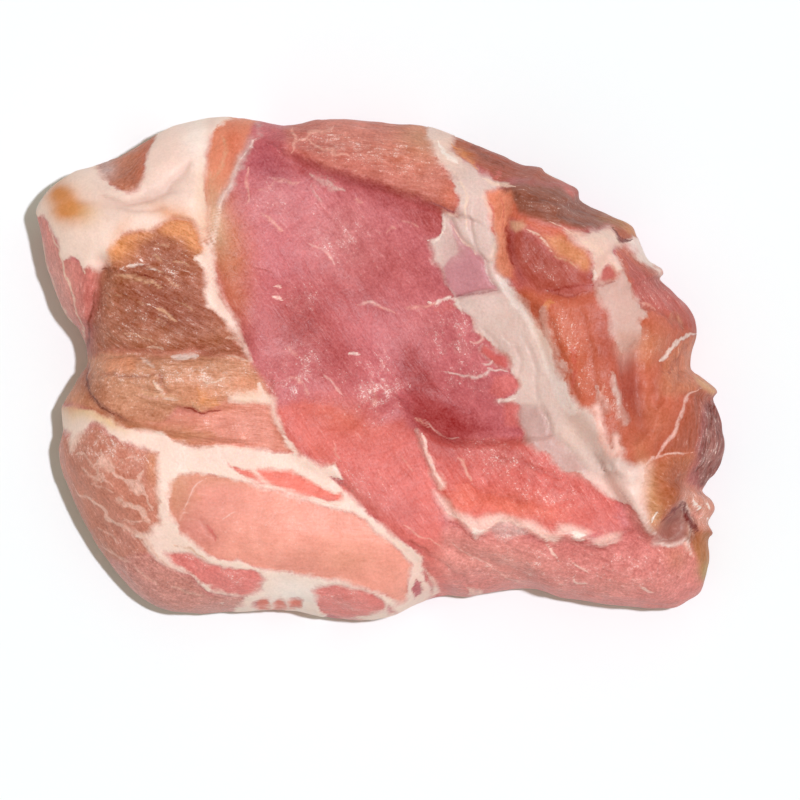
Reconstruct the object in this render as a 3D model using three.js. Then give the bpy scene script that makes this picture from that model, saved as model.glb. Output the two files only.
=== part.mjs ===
// A raw boneless pork collar in one piece, lying on its flat underside with the boned-out face up.
// Millimetres, +Z up. +X runs along the collar and +Y across it, away from the sliced end at the front.
// The origin is on the table, under the middle of the collar's box.
import * as THREE from "three";
import { ParametricGeometry } from "three/addons/geometries/ParametricGeometry.js";
import { SimplexNoise } from "three/addons/math/SimplexNoise.js";
import { mergeGeometries, mergeVertices } from "three/addons/utils/BufferGeometryUtils.js";

// Driving dimensions.
const crownHeight = 50; // the flat middle of the upper face, before its muscles are added
const gridSteps = 66; // faces along each side of the square that is stretched over the upper face
const wallShare = 0.2; // the share of those faces that runs from the widest line down to the table
const slackness = 1.12; // how much wider the faces in the middle are than on the average
const outlineSamples = 1440;
const smoothingSpan = (14 * Math.PI) / 180; // the outline's small notches die away inwards over this angle
const smoothingSteps = 8; // how many angles on each side are averaged for that
const notchStart = 0.6; // the share of the way out where the notches begin
const reliefEnd = 0.86; // the share of the way out where the muscles' relief begins to fade
const endFade = 12; // a ledge or crease fades over this distance past its ends
const pointsPerSpan = 6; // straight stretches between two points of a drawn line
const footFade = 12; // the height over which the unevenness sets in, so the rim stays on the table
const leastReach = 30; // keeps the unevenness small near the middle
const mergeTolerance = 1e-4;

// The widest line seen from above, clockwise from the left corner of the fat cap.
const outlinePoints = [
  [-119.5, 55.5], [-116, 61.5], [-108, 68.5], [-100, 70.3], [-90, 74], [-79, 80.8], [-72, 84], [-60, 88],
  [-48, 88.3], [-31, 86], [-20, 86.9], [-8, 87.4], [5, 86.3], [18, 83.5], [30, 79], [42, 74.3],
  [50, 71.4], [56.5, 70.4], [57.6, 68.8], [66, 64.5], [69.4, 62.8], [70.3, 59.5], [75, 56.8], [80, 54.6],
  [88, 50], [90, 46.4], [93, 41], [95, 38], [99.9, 34.4], [98.7, 32], [103, 27], [107.5, 21],
  [109.7, 16.6], [110.3, 12], [109.4, 0], [113, -3], [118.2, -8], [116.2, -10.4], [117.4, -14],
  [119.7, -25], [118, -33], [113.5, -39.5], [112.2, -43], [115, -45.4], [116.7, -48.6], [114.5, -54],
  [116.3, -57.4], [115, -59.4], [115, -66], [114, -72], [112, -77.8], [108.6, -80.4], [104.6, -83.3],
  [97, -84.2], [90, -83.8], [80, -82.3], [70, -80.5], [62, -79.8], [54, -76.9], [38, -78], [31, -79.6],
  [22, -79.2], [13, -82],
  [4, -86.3], [-8, -88], [-20, -87], [-30, -85.2], [-50, -85.2], [-66, -85.6], [-80, -82], [-92, -73.5],
  [-101, -57], [-110, -40], [-112.5, -29], [-110.8, -21], [-111, -13], [-107, -4], [-103.4, 2], [-105, 12],
  [-111, 20.5], [-115, 32.5], [-118, 45],
];

// How the sides differ round the collar, by compass angle: how square the shoulder is, how high the widest
// line lies, and how far the underside tucks in below it.
const sides = [
  { angle: 0, squareness: 7, edgeHeight: 19, tuck: 11 },
  { angle: 45, squareness: 7, edgeHeight: 20, tuck: 12 },
  { angle: 90, squareness: 7, edgeHeight: 21, tuck: 12 },
  { angle: 135, squareness: 7.5, edgeHeight: 22, tuck: 12 },
  { angle: 180, squareness: 6.5, edgeHeight: 17, tuck: 10 },
  { angle: 225, squareness: 6, edgeHeight: 12, tuck: 8 },
  { angle: 270, squareness: 6.5, edgeHeight: 11, tuck: 7 },
  { angle: 315, squareness: 6, edgeHeight: 12, tuck: 8 },
];

// Rounded swells and hollows of the upper face: an oval of half lengths size, turned from +X in degrees.
const swells = [
  { name: "fatCap", at: [-86, 62], size: [30, 15], turn: 18, rise: 3 },
  { name: "brownMuscle", at: [-78, 24], size: [22, 16], turn: -10, rise: 4 },
  { name: "foldedRoll", at: [-72, -4], size: [36, 8], turn: -3, rise: 5 },
  { name: "bladeBed", at: [4, 16], size: [58, 24], turn: -50, rise: -9 },
  { name: "bedDimple", at: [27, -14], size: [20, 9], turn: -18, rise: -5 },
  { name: "eyeMuscle", at: [-34, -56], size: [38, 14], turn: -12, rise: 3 },
  { name: "marbledMuscle", at: [-94, -42], size: [14, 24], turn: 22, rise: 3 },
  { name: "roundMuscle", at: [-10, -81], size: [14, 6], turn: -4, rise: 2 },
  { name: "smallRoundMuscle", at: [-50, -74], size: [10, 6], turn: -12, rise: 2 },
  { name: "shoulderBlock", at: [84, 12], size: [28, 50], turn: 24, rise: 8 },
  { name: "shoulderTop", at: [72, 40], size: [30, 12], turn: -22, rise: 3 },
  { name: "tipLobe", at: [97, -36], size: [12, 17], turn: 14, rise: 5 },
  { name: "lowerMuscle", at: [62, -58], size: [44, 14], turn: -8, rise: 3 },
  { name: "neckPocket", at: [103, -55], size: [7, 6], turn: 30, rise: -7 },
];

// Steps where one muscle lies over another. The side to the left of the line, as it runs, is the high one:
// it rises over softness and falls back to the face over run.
const ledges = [
  {
    name: "upperFlap", rise: 5, run: 17, softness: 4.4,
    line: [[-33, 76], [-22, 71], [-10, 65.8], [5, 62], [19, 57], [28, 53.5]],
  },
  {
    name: "shoulderEdge", rise: 6, run: 36, softness: 7,
    line: [[46, 66], [43, 55], [43, 42], [46, 31], [55, 20], [61, 6], [65, -8], [71, -20], [80, -32]],
  },
  {
    name: "lobeEdge", rise: 7.5, run: 18, softness: 4.6,
    line: [[80, -37], [87, -48], [92.5, -57], [96, -59], [99, -55], [104, -49], [107, -43]],
  },
  {
    name: "raggedFlap", rise: 1.8, run: 12, softness: 2.6,
    line: [
      [13, -22], [17, -33], [22, -43], [28, -53], [34, -58], [44, -52], [54, -58], [64, -59],
      [77, -61.5], [85, -57],
    ],
  },
  {
    name: "redMuscleEdge", rise: 2.2, run: 18, softness: 5,
    line: [[-37, -8], [-34, -20], [-26, -31], [-15, -37], [0, -51], [14, -66], [20, -78]],
  },
  {
    name: "rollEdge", rise: 3.6, run: 9, softness: 2.4,
    line: [
      [-103, 2], [-103.6, -4], [-101.4, -9.5], [-97, -13.8], [-90, -18], [-84, -20], [-68, -23.5],
      [-52, -25],
    ],
  },
  {
    name: "rollLip", rise: 1.2, run: 7, softness: 1.8,
    line: [[-80, -12], [-72, -13.3], [-66, -14.5], [-63, -15.3], [-59, -14.5], [-53, -13.6]],
  },
  {
    name: "bedRim", rise: 4.5, run: 13, softness: 3.6,
    line: [[52, -25], [40, -26.5], [26, -25.5], [16, -21], [8, -12]],
  },
  {
    name: "brownFanEdge", rise: 2.2, run: 12, softness: 3.2,
    line: [[44, 62], [54, 54], [66, 48.5], [82, 49.5], [86, 44]],
  },
];

// Grooves between muscles and along folds.
const creases = [
  {
    name: "leftSeam", depth: 1.6, width: 3,
    line: [[-58, 90], [-61, 72], [-60, 52], [-59, 38], [-55, 25], [-47, 6]],
  },
  { name: "rollFold", depth: 3, width: 2.6, line: [[-105, 3], [-95, 6.5], [-82, 5], [-68, 5], [-50, 9]] },
  { name: "sideFold", depth: 4, width: 3, line: [[-97, 37], [-98.5, 27], [-101, 16], [-104, 4]] },
  {
    name: "elbowFold", depth: 1.5, width: 3,
    line: [[45, 57], [44.5, 45], [47, 34], [56, 27.5], [70, 26], [81, 30]],
  },
  { name: "shoulderFold", depth: 3.5, width: 2.8, line: [[112, 13], [103, 9.5], [98, 2], [97, -11]] },
  { name: "shoulderHollow", depth: 4.5, width: 5.5, line: [[88, 6], [89, -8], [92, -22]] },
  {
    name: "lobeSeam", depth: 2.5, width: 3,
    line: [[117, -7], [108, -9], [103, -20], [95, -29], [86, -33]],
  },
  { name: "capFold", depth: 2, width: 4, line: [[-104, 58], [-90, 57], [-78, 61], [-68, 68]] },
  { name: "upperFold", depth: 2.2, width: 3, line: [[88, 46], [78, 40], [72, 32]] },
  { name: "lowerFold", depth: 2, width: 3, line: [[24, -62], [40, -68], [60, -74]] },
];

// Slow unevenness of the whole skin, which no muscle accounts for.
const unevenness = { height: 1.3, wavelength: 19, seed: 7 };
// The plain random numbers that it is drawn from: each is the last one times the multiplier.
const randomMultiplier = 16807;
const randomModulus = 2147483647;

const clamp01 = (x) => Math.min(1, Math.max(0, x));
const smoothstep = (from, to, x) => {
  const t = clamp01((x - from) / (to - from));
  return t * t * (3 - 2 * t);
};

function seededRandom(seed) {
  let state = seed;
  const random = () => {
    state = (state * randomMultiplier) % randomModulus;
    return state / randomModulus;
  };
  return { random };
}

// The outline as a radius for any angle about the origin.
function outlineRadii() {
  const curve = new THREE.CatmullRomCurve3(
    outlinePoints.map(([x, y]) => new THREE.Vector3(x, y, 0)), true, "centripetal",
  );
  curve.arcLengthDivisions = outlineSamples;
  const byAngle = curve
    .getSpacedPoints(outlineSamples)
    .map((p) => ({ angle: Math.atan2(p.y, p.x), radius: Math.hypot(p.x, p.y) }))
    .sort((a, b) => a.angle - b.angle);
  const radii = [];
  let j = 0;
  for (let i = 0; i < outlineSamples; i++) {
    const angle = -Math.PI + (2 * Math.PI * i) / outlineSamples;
    while (j < byAngle.length - 1 && byAngle[j].angle < angle) j++;
    radii.push(byAngle[j].radius);
  }
  return radii;
}

const radii = outlineRadii();

function radiusAt(angle) {
  const place = ((angle + Math.PI) / (2 * Math.PI)) * outlineSamples;
  const i = Math.floor(place);
  const wrap = (k) => ((k % outlineSamples) + outlineSamples) % outlineSamples;
  return THREE.MathUtils.lerp(radii[wrap(i)], radii[wrap(i + 1)], place - i);
}

function smoothRadiusAt(angle) {
  let sum = 0;
  for (let k = -smoothingSteps; k <= smoothingSteps; k++) {
    sum += radiusAt(angle + (k / smoothingSteps) * smoothingSpan);
  }
  return sum / (2 * smoothingSteps + 1);
}

// A side's value at an angle, passed smoothly from one listed side to the next.
function sideAt(angle, key) {
  const spacing = 360 / sides.length;
  const place = (((angle * 180) / Math.PI + 360) % 360) / spacing;
  const i = Math.floor(place) % sides.length;
  return THREE.MathUtils.lerp(sides[i][key], sides[(i + 1) % sides.length][key], smoothstep(0, 1, place % 1));
}

// A line drawn through a few points as a smooth curve of short straight stretches.
function drawn(points) {
  const curve = new THREE.SplineCurve(points.map(([x, y]) => new THREE.Vector2(x, y)));
  return curve.getPoints(points.length * pointsPerSpan);
}

// The distance from a point to a drawn line, positive on its left, and how much of the line reaches there:
// 1 beside it and 0 well past its ends.
function besideLine(line, x, y) {
  let best = Infinity;
  let side = 1;
  let past = 0;
  for (let i = 0; i < line.length - 1; i++) {
    const [a, b] = [line[i], line[i + 1]];
    const [dx, dy] = [b.x - a.x, b.y - a.y];
    const length = Math.hypot(dx, dy);
    const along = ((x - a.x) * dx + (y - a.y) * dy) / length;
    const held = Math.min(length, Math.max(0, along));
    const distance = Math.hypot(x - a.x - (dx * held) / length, y - a.y - (dy * held) / length);
    if (distance < best) {
      best = distance;
      side = dx * (y - a.y) - dy * (x - a.x) >= 0 ? 1 : -1;
      const atEnd = (i === 0 && along < 0) || (i === line.length - 2 && along > length);
      past = atEnd ? Math.abs(along - held) : 0;
    }
  }
  return { distance: best * side, reach: 1 - smoothstep(0, endFade, past) };
}

const drawnLedges = ledges.map((ledge) => ({ ...ledge, drawn: drawn(ledge.line) }));
const drawnCreases = creases.map((crease) => ({ ...crease, drawn: drawn(crease.line) }));
const skinNoise = new SimplexNoise(seededRandom(unevenness.seed));

function swellAt({ at, size, turn, rise }, x, y) {
  const angle = THREE.MathUtils.degToRad(turn);
  const [dx, dy] = [x - at[0], y - at[1]];
  const along = (dx * Math.cos(angle) + dy * Math.sin(angle)) / size[0];
  const across = (dy * Math.cos(angle) - dx * Math.sin(angle)) / size[1];
  return rise * Math.exp(-(along * along + across * across));
}

function ledgeAt({ rise, run, softness, drawn: line }, x, y) {
  const { distance, reach } = besideLine(line, x, y);
  const step = smoothstep(-softness, softness, distance);
  return rise * reach * step * Math.exp(-Math.max(0, distance) / run);
}

function creaseAt({ depth, width, drawn: line }, x, y) {
  const { distance, reach } = besideLine(line, x, y);
  return -depth * reach * Math.exp(-((distance / width) ** 2));
}

// What the muscles, folds and seams add to the plain crown.
function reliefAt(x, y) {
  let z = 0;
  for (const swell of swells) z += swellAt(swell, x, y);
  for (const ledge of drawnLedges) z += ledgeAt(ledge, x, y);
  for (const crease of drawnCreases) z += creaseAt(crease, x, y);
  return z;
}

// Where a point of the skin lies: angle round the collar, and way, 0 in the middle of the upper face and 1
// at the rim of the flat underside.
function skinPoint(angle, way, target) {
  const topShare = 1 - wallShare;
  const edgeHeight = sideAt(angle, "edgeHeight");
  const radius = radiusAt(angle);
  if (way >= topShare) {
    // Below the widest line the skin curls under as a quarter of an oval.
    const turn = ((way - topShare) / wallShare) * (Math.PI / 2);
    const out = radius - sideAt(angle, "tuck") * (1 - Math.cos(turn));
    return target.set(out * Math.cos(angle), out * Math.sin(angle), edgeHeight * (1 - Math.sin(turn)));
  }
  // The faces narrow towards the widest line, where the skin is steep.
  const a = way / topShare;
  const narrowFrom = 2 / slackness - 1;
  const share = a < narrowFrom ? slackness * a : 1 - (slackness / 2 / (1 - narrowFrom)) * (1 - a) ** 2;
  const reach = THREE.MathUtils.lerp(smoothRadiusAt(angle), radius, smoothstep(notchStart, 1, share));
  const [x, y] = [reach * share * Math.cos(angle), reach * share * Math.sin(angle)];
  const crown = Math.sqrt(Math.max(0, 1 - share ** sideAt(angle, "squareness")));
  const relief = reliefAt(x, y) * (1 - smoothstep(reliefEnd, 1, share));
  return target.set(x, y, edgeHeight + (crownHeight - edgeHeight) * crown + relief);
}

// The square's middle goes to the middle of the face and its rings of cells to rings round it.
function upperSkin(u, v, target) {
  const [across, up] = [2 * u - 1, 2 * v - 1];
  const way = Math.max(Math.abs(across), Math.abs(up));
  if (way === 0) return skinPoint(0, 0, target);
  const angle = Math.abs(across) >= Math.abs(up)
    ? (Math.PI / 4) * (up / across) + (across < 0 ? Math.PI : 0)
    : Math.PI / 2 - (Math.PI / 4) * (across / up) + (up < 0 ? Math.PI : 0);
  skinPoint(angle, way, target);
  const { height, wavelength } = unevenness;
  const wave = skinNoise.noise3d(target.x / wavelength, target.y / wavelength, target.z / wavelength);
  const offset = wave * height * smoothstep(0, footFade, target.z);
  const outwards = 1 + offset / Math.max(leastReach, Math.hypot(target.x, target.y));
  return target.set(target.x * outwards, target.y * outwards, target.z + offset);
}

// The flat underside, cut to the rim that the skin ends at.
function underside() {
  const rim = [];
  const point = new THREE.Vector3();
  const corners = [[0, 0], [1, 0], [1, 1], [0, 1]];
  corners.forEach(([u0, v0], i) => {
    const [u1, v1] = corners[(i + 1) % corners.length];
    for (let k = 0; k < gridSteps; k++) {
      const part = k / gridSteps;
      upperSkin(u0 + (u1 - u0) * part, v0 + (v1 - v0) * part, point);
      rim.push(new THREE.Vector2(point.x, point.y));
    }
  });
  const face = new THREE.ShapeGeometry(new THREE.Shape(rim));
  const index = face.index.array;
  for (let i = 0; i < index.length; i += 3) {
    [index[i + 1], index[i + 2]] = [index[i + 2], index[i + 1]]; // so that it faces down
  }
  return face;
}

function collarGeometry() {
  const sheets = [new ParametricGeometry(upperSkin, gridSteps, gridSteps), underside()];
  for (const sheet of sheets) {
    sheet.deleteAttribute("normal");
    sheet.deleteAttribute("uv");
  }
  const closed = mergeVertices(mergeGeometries(sheets), mergeTolerance);
  closed.computeBoundingBox();
  const { min, max } = closed.boundingBox;
  closed.translate(-(min.x + max.x) / 2, -(min.y + max.y) / 2, -min.z);
  closed.computeVertexNormals();
  return closed;
}

const rawPork = new THREE.MeshStandardMaterial({ color: 0xc4706a, roughness: 0.45, metalness: 0 });
const collar = new THREE.Mesh(collarGeometry(), rawPork);
collar.name = "collar";

const porkCollar = new THREE.Group();
porkCollar.add(collar);

export default porkCollar;
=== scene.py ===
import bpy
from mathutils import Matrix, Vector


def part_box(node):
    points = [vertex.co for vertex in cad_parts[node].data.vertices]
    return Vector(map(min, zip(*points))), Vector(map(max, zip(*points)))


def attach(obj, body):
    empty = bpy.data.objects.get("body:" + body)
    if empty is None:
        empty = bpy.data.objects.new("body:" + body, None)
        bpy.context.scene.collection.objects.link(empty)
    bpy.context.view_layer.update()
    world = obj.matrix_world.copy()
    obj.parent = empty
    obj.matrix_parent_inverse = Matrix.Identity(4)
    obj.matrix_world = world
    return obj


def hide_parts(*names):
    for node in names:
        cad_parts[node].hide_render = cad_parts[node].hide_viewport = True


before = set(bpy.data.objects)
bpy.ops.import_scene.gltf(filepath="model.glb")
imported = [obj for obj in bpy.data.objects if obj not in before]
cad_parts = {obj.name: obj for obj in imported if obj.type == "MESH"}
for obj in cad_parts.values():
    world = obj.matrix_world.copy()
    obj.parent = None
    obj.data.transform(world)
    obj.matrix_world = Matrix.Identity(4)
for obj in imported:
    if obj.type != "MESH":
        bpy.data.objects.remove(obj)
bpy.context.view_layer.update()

import math
import bpy
import numpy as np
from mathutils import Vector
from mathutils.geometry import delaunay_2d_cdt

scene = bpy.context.scene
millimetre = 0.001

stageSettings = {  # in metres
    "floorSide": 8,
    "floorColour": (0.88, 0.91, 0.925),
    "skyColour": (1, 0.99, 0.8),
    "skyStrength": 0.38,
    "sunColour": (0.92, 0.93, 1),
    "sunStrength": 2.57,
    "sunSpread": 2.5,  # degrees
    "sunFrom": (0.2, 0.07, 0.97),
    "cameraHeight": 7.8,
    "sharpHeight": 0.02,
    "frameMiddle": (0.0068, -0.0109),
    "frameWidth": 0.28,
}
daylight = {"level": 0.98, "sheen": 0.031}  # what the light adds to a finish, in linear shares

# Everything below is written in millimetres, +Z up, with the collar's middle at the origin.

form = {
    "rings": 151,  # rings of faces from the middle of the upper face to the rim underneath
    "wallShare": 0.09,  # the share of the rings below the widest line
    "slackness": 1.1,
    "crownHeight": 50,
    "lipSharpness": 0.65,  # how much sharper the steps between muscles are than in the solid
    "undersideSpacing": 3.2,
    "undersideSeed": 5,
    "undersideLift": (0.7, 9, 3),  # of the hollows under it: height, wavelength, seed
    "undersideRim": 14,  # how far in from the rim the hollows begin in full
    "warp": [(6, 0.8, 21), (2.2, 0.4, 23)],  # wobble of every painted edge: size, amount, seed
    "slowWave": (1.3, 19, 7),  # unevenness that no muscle accounts for: height, wavelength, seed
    "stillMiddle": 30,  # nearer to the middle than this, the slow wave shifts less and less sideways
    # over how many mm things fade: towards the table, and past the ends of ledges, creases, the painted shade
    # of creases, and folds
    "fades": {"slowWave": 10, "relief": 12, "ledge": 12, "crease": 12, "darkCrease": 6, "fold": 3},
    # fine relief: height, size, seed, and how far fat and silverskin stand proud
    "relief": {
        "lumps": (0.24, 6, 11), "grains": (0.08, 2.5, 12), "walls": (0.8, 13, 14),
        "fibres": (0.3, (11, 2.1, 2.1), 13), "fat": 0.35, "film": 0.3,
        "wallsFrom": 0.35,  # the share of the turn underneath from which walls are rough in full
    },
    # the widest line seen from above, clockwise from the left corner of the fat cap
    "outline": [
        (-119.5, 55.5), (-116, 61.5), (-108, 68.5), (-100, 70.3), (-90, 74), (-79, 80.8), (-72, 84),
        (-60, 88), (-48, 88.3), (-31, 86), (-20, 86.9), (-8, 87.4), (5, 86.3), (18, 83.5), (30, 79),
        (42, 74.3), (50, 71.4), (56.5, 70.4), (57.6, 68.8), (66, 64.5), (69.4, 62.8), (70.3, 59.5),
        (75, 56.8), (80, 54.6), (88, 50), (90, 46.4), (93, 41), (95, 38), (99.9, 34.4), (98.7, 32),
        (103, 27), (107.5, 21), (109.7, 16.6), (110.3, 12), (109.4, 0), (113, -3), (118.2, -8),
        (116.2, -10.4), (117.4, -14), (119.7, -25), (118, -33), (113.5, -39.5), (112.2, -43),
        (115, -45.4), (116.7, -48.6), (114.5, -54), (116.3, -57.4), (115, -59.4), (115, -66),
        (114, -72), (112, -77.8), (108.6, -80.4), (104.6, -83.3), (97, -84.2), (90, -83.8),
        (80, -82.3), (70, -80.5), (62, -79.8),
        (54, -76.9), (38, -78), (31, -79.6), (22, -79.2), (13, -82), (4, -86.3), (-8, -88), (-20, -87),
        (-30, -85.2), (-50, -85.2), (-66, -85.6), (-80, -82), (-92, -73.5), (-101, -57), (-110, -40),
        (-112.5, -29), (-110.8, -21), (-111, -13), (-107, -4), (-103.4, 2), (-105, 12), (-111, 20.5),
        (-115, 32.5), (-118, 45),
    ],
    # by compass angle: how square the shoulder is, the height of the widest line, the tuck below it
    "sides": [
        (0, 7, 19, 11), (45, 7, 20, 12), (90, 7, 21, 12), (135, 7.5, 22, 12),
        (180, 6.5, 17, 10), (225, 6, 12, 8), (270, 6.5, 11, 7), (315, 6, 12, 8),
    ],
    # rounded swells and hollows: middle, half lengths, turn from +X in degrees, rise
    "swells": {
        "fatCap": ((-86, 62), (30, 15), 18, 3),
        "brownMuscle": ((-78, 24), (22, 16), -10, 4),
        "foldedRoll": ((-72, -4), (36, 8), -3, 5),
        "bladeBed": ((4, 16), (58, 24), -50, -9),
        "bedDimple": ((27, -14), (20, 9), -18, -5),
        "eyeMuscle": ((-34, -56), (38, 14), -12, 3),
        "marbledMuscle": ((-94, -42), (14, 24), 22, 3),
        "roundMuscle": ((-10, -81), (14, 6), -4, 2),
        "smallRoundMuscle": ((-50, -74), (10, 6), -12, 2),
        "shoulderBlock": ((84, 12), (28, 50), 24, 8),
        "shoulderTop": ((72, 40), (30, 12), -22, 3),
        "tipLobe": ((97, -36), (12, 17), 14, 5),
        "lowerMuscle": ((62, -58), (44, 14), -8, 3),
        "neckPocket": ((103, -55), (7, 6), 30, -7),
    },
    # steps where one muscle lies over another, high on the left of the line: rise, run, softness, line
    "ledges": {
        "upperFlap": (5, 17, 4.4, [(-33, 76), (-22, 71), (-10, 65.8), (5, 62), (19, 57), (28, 53.5)]),
        "shoulderEdge": (6, 36, 7, [(46, 66), (43, 55), (43, 42), (46, 31), (55, 20), (61, 6),
                                        (65, -8), (71, -20), (80, -32)]),
        "lobeEdge": (7.5, 18, 4.6, [(80, -37), (87, -48), (92.5, -57), (96, -59), (99, -55), (104, -49),
                                  (107, -43)]),
        "raggedFlap": (1.8, 12, 2.6, [(13, -22), (17, -33), (22, -43), (28, -53), (34, -58), (44, -52),
                                    (54, -58), (64, -59), (77, -61.5), (85, -57)]),
        "redMuscleEdge": (2.2, 18, 5, [(-37, -8), (-34, -20), (-26, -31), (-15, -37), (0, -51), (14, -66),
                                       (20, -78)]),
        "rollEdge": (3.6, 9, 2.4, [(-103, 2), (-103.6, -4), (-101.4, -9.5), (-97, -13.8), (-90, -18),
                                 (-84, -20), (-68, -23.5), (-52, -25)]),
        "rollLip": (1.2, 7, 1.8, [(-80, -12), (-72, -13.3), (-66, -14.5), (-63, -15.3), (-59, -14.5),
                                  (-53, -13.6)]),
        "bedRim": (4.5, 13, 3.6, [(52, -25), (40, -26.5), (26, -25.5), (16, -21), (8, -12)]),
        "brownFanEdge": (2.2, 12, 3.2, [(44, 62), (54, 54), (66, 48.5), (82, 49.5), (86, 44)]),
    },
    # grooves between muscles and along folds, each also darkened with painted shade: depth, width, line
    "creases": {
        "leftSeam": (1.6, 3, [(-58, 90), (-61, 72), (-60, 52), (-59, 38), (-55, 25), (-47, 6)]),
        "rollFold": (3, 2.6, [(-105, 3), (-95, 6.5), (-82, 5), (-68, 5), (-50, 9)]),
        "sideFold": (4, 3, [(-97, 37), (-98.5, 27), (-101, 16), (-104, 4)]),
        "elbowFold": (1.5, 3, [(45, 57), (44.5, 45), (47, 34), (56, 27.5), (70, 26), (81, 30)]),
        "shoulderFold": (3.5, 2.8, [(112, 13), (103, 9.5), (98, 2), (97, -11)]),
        "shoulderHollow": (4.5, 5.5, [(88, 6), (89, -8), (92, -22)]),
        "lobeSeam": (2.5, 3, [(117, -7), (108, -9), (103, -20), (95, -29), (86, -33)]),
        "capFold": (2, 4, [(-104, 58), (-90, 57), (-78, 61), (-68, 68)]),
        "upperFold": (2.2, 3, [(88, 46), (78, 40), (72, 32)]),
        "lowerFold": (2, 3, [(24, -62), (40, -68), (60, -74)]),
    },
}

paintReach, creaseReach, foldReach = 6, 20, 8  # how far from their lines they are worked out


def smoothstep(start, end, x):
    t = np.clip((x - start) / (end - start), 0, 1)
    return t * t * (3 - 2 * t)


def drawn(points, closed=False, steps=6):  # a smooth curve through a few points
    p = np.array(points, float)
    if closed:
        p = np.vstack([p[-1], p, p[0], p[1]])
    else:
        p = np.vstack([p[0], p, p[-1]])
    t = np.linspace(0, 1, steps, endpoint=False)[:, None]
    pieces = []
    for a, b, c, d in zip(p, p[1:], p[2:], p[3:]):
        pieces.append(0.5 * (2 * b + (c - a) * t + (2 * a - 5 * b + 4 * c - d) * t ** 2
                             + (3 * b - a - 3 * c + d) * t ** 3))
    curve = np.vstack(pieces)
    return curve if closed else np.vstack([curve, p[-1]])


def nearestOn(line, at):  # distance, side (+1 on the left), how far past an end, how far along (0 to 1)
    best = np.full(len(at), 1e9)
    side = np.ones(len(at))
    past = np.zeros(len(at))
    along = np.zeros(len(at))
    count = len(line) - 1
    for i in range(count):
        a, step = line[i], line[i + 1] - line[i]
        length = math.hypot(*step) or 1e-9
        rel = at - a
        run = (rel @ step) / length
        held = np.clip(run, 0, length)
        gap = np.hypot(rel[:, 0] - step[0] * held / length, rel[:, 1] - step[1] * held / length)
        closer = gap < best
        best = np.where(closer, gap, best)
        turned = np.where(step[0] * rel[:, 1] - step[1] * rel[:, 0] >= 0, 1.0, -1.0)
        side = np.where(closer, turned, side)
        atEnd = ((i == 0) & (run < 0)) | ((i == count - 1) & (run > length))
        past = np.where(closer, np.where(atEnd, np.abs(run - held), 0), past)
        along = np.where(closer, (i + held / length) / count, along)
    return best, side, past, along


def nearby(line, at, margin):  # the points that lie in the line's box, widened by the margin
    low, high = line.min(0) - margin, line.max(0) + margin
    return np.nonzero(((at > low) & (at < high)).all(1))[0]


def outlineRadii(samples=1440):  # centripetal curve through the outline's points, as radii by angle
    p = np.array(form["outline"], float)
    places = []
    for i in range(len(p)):
        a, b, c, d = (p[(i + k) % len(p)] for k in (-1, 0, 1, 2))
        ab, bc, cd = (max(math.hypot(*(v - u)) ** 0.5, 1e-4) for u, v in ((a, b), (b, c), (c, d)))
        enter = ((b - a) / ab - (c - a) / (ab + bc) + (c - b) / bc) * bc
        leave = ((c - b) / bc - (d - b) / (bc + cd) + (d - c) / cd) * bc
        t = np.linspace(0, 1, 30, endpoint=False)[:, None]
        places.append(b + enter * t + (3 * (c - b) - 2 * enter - leave) * t ** 2
                      + (2 * (b - c) + enter + leave) * t ** 3)
    places = np.vstack(places)
    angle = np.arctan2(places[:, 1], places[:, 0])
    order = np.argsort(angle)
    wanted = -math.pi + 2 * math.pi * np.arange(samples) / samples
    return np.interp(wanted, angle[order], np.hypot(*places[order].T), period=2 * math.pi)


radii = outlineRadii()


def radiusAt(angle):
    place = (angle + math.pi) / (2 * math.pi) * len(radii)
    return np.interp(place, np.arange(len(radii) + 1), np.append(radii, radii[0]), period=len(radii))


def smoothRadiusAt(angle):  # the outline's small notches die away inwards
    span, steps = math.radians(14), 8
    return np.mean([radiusAt(angle + k / steps * span) for k in range(-steps, steps + 1)], axis=0)


def sideAt(angle, key):
    values = np.array([side[key] for side in form["sides"]], float)
    place = np.degrees(angle) % 360 / (360 / len(values))
    i = np.floor(place).astype(int) % len(values)
    share = smoothstep(0, 1, place % 1)
    return values[i] * (1 - share) + values[(i + 1) % len(values)] * share


def oval(at, middle, size, turn):  # 1 in the middle and fading outwards
    angle = math.radians(turn)
    dx, dy = at[:, 0] - middle[0], at[:, 1] - middle[1]
    along = (dx * math.cos(angle) + dy * math.sin(angle)) / size[0]
    across = (dy * math.cos(angle) - dx * math.sin(angle)) / size[1]
    return np.exp(-(along ** 2 + across ** 2))


def reliefAt(at):  # what muscles, folds and seams add to the plain crown
    z = np.zeros(len(at))
    for middle, size, turn, rise in form["swells"].values():
        z += rise * oval(at, middle, size, turn)
    for rise, run, softness, points in form["ledges"].values():
        line = drawn(points)
        some = nearby(line, at, 5 * run)
        distance, side, past, _ = nearestOn(line, at[some])
        distance *= side
        soft = softness * form["lipSharpness"]
        step = smoothstep(-soft, soft, distance) * np.exp(-np.maximum(0, distance) / run)
        z[some] += rise * (1 - smoothstep(0, form["fades"]["ledge"], past)) * step
    for depth, width, points in form["creases"].values():
        line = drawn(points)
        some = nearby(line, at, creaseReach)
        distance, _, past, _ = nearestOn(line, at[some])
        share = 1 - smoothstep(0, form["fades"]["crease"], past)
        z[some] -= depth * share * np.exp(-(distance / width) ** 2)
    return z


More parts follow.
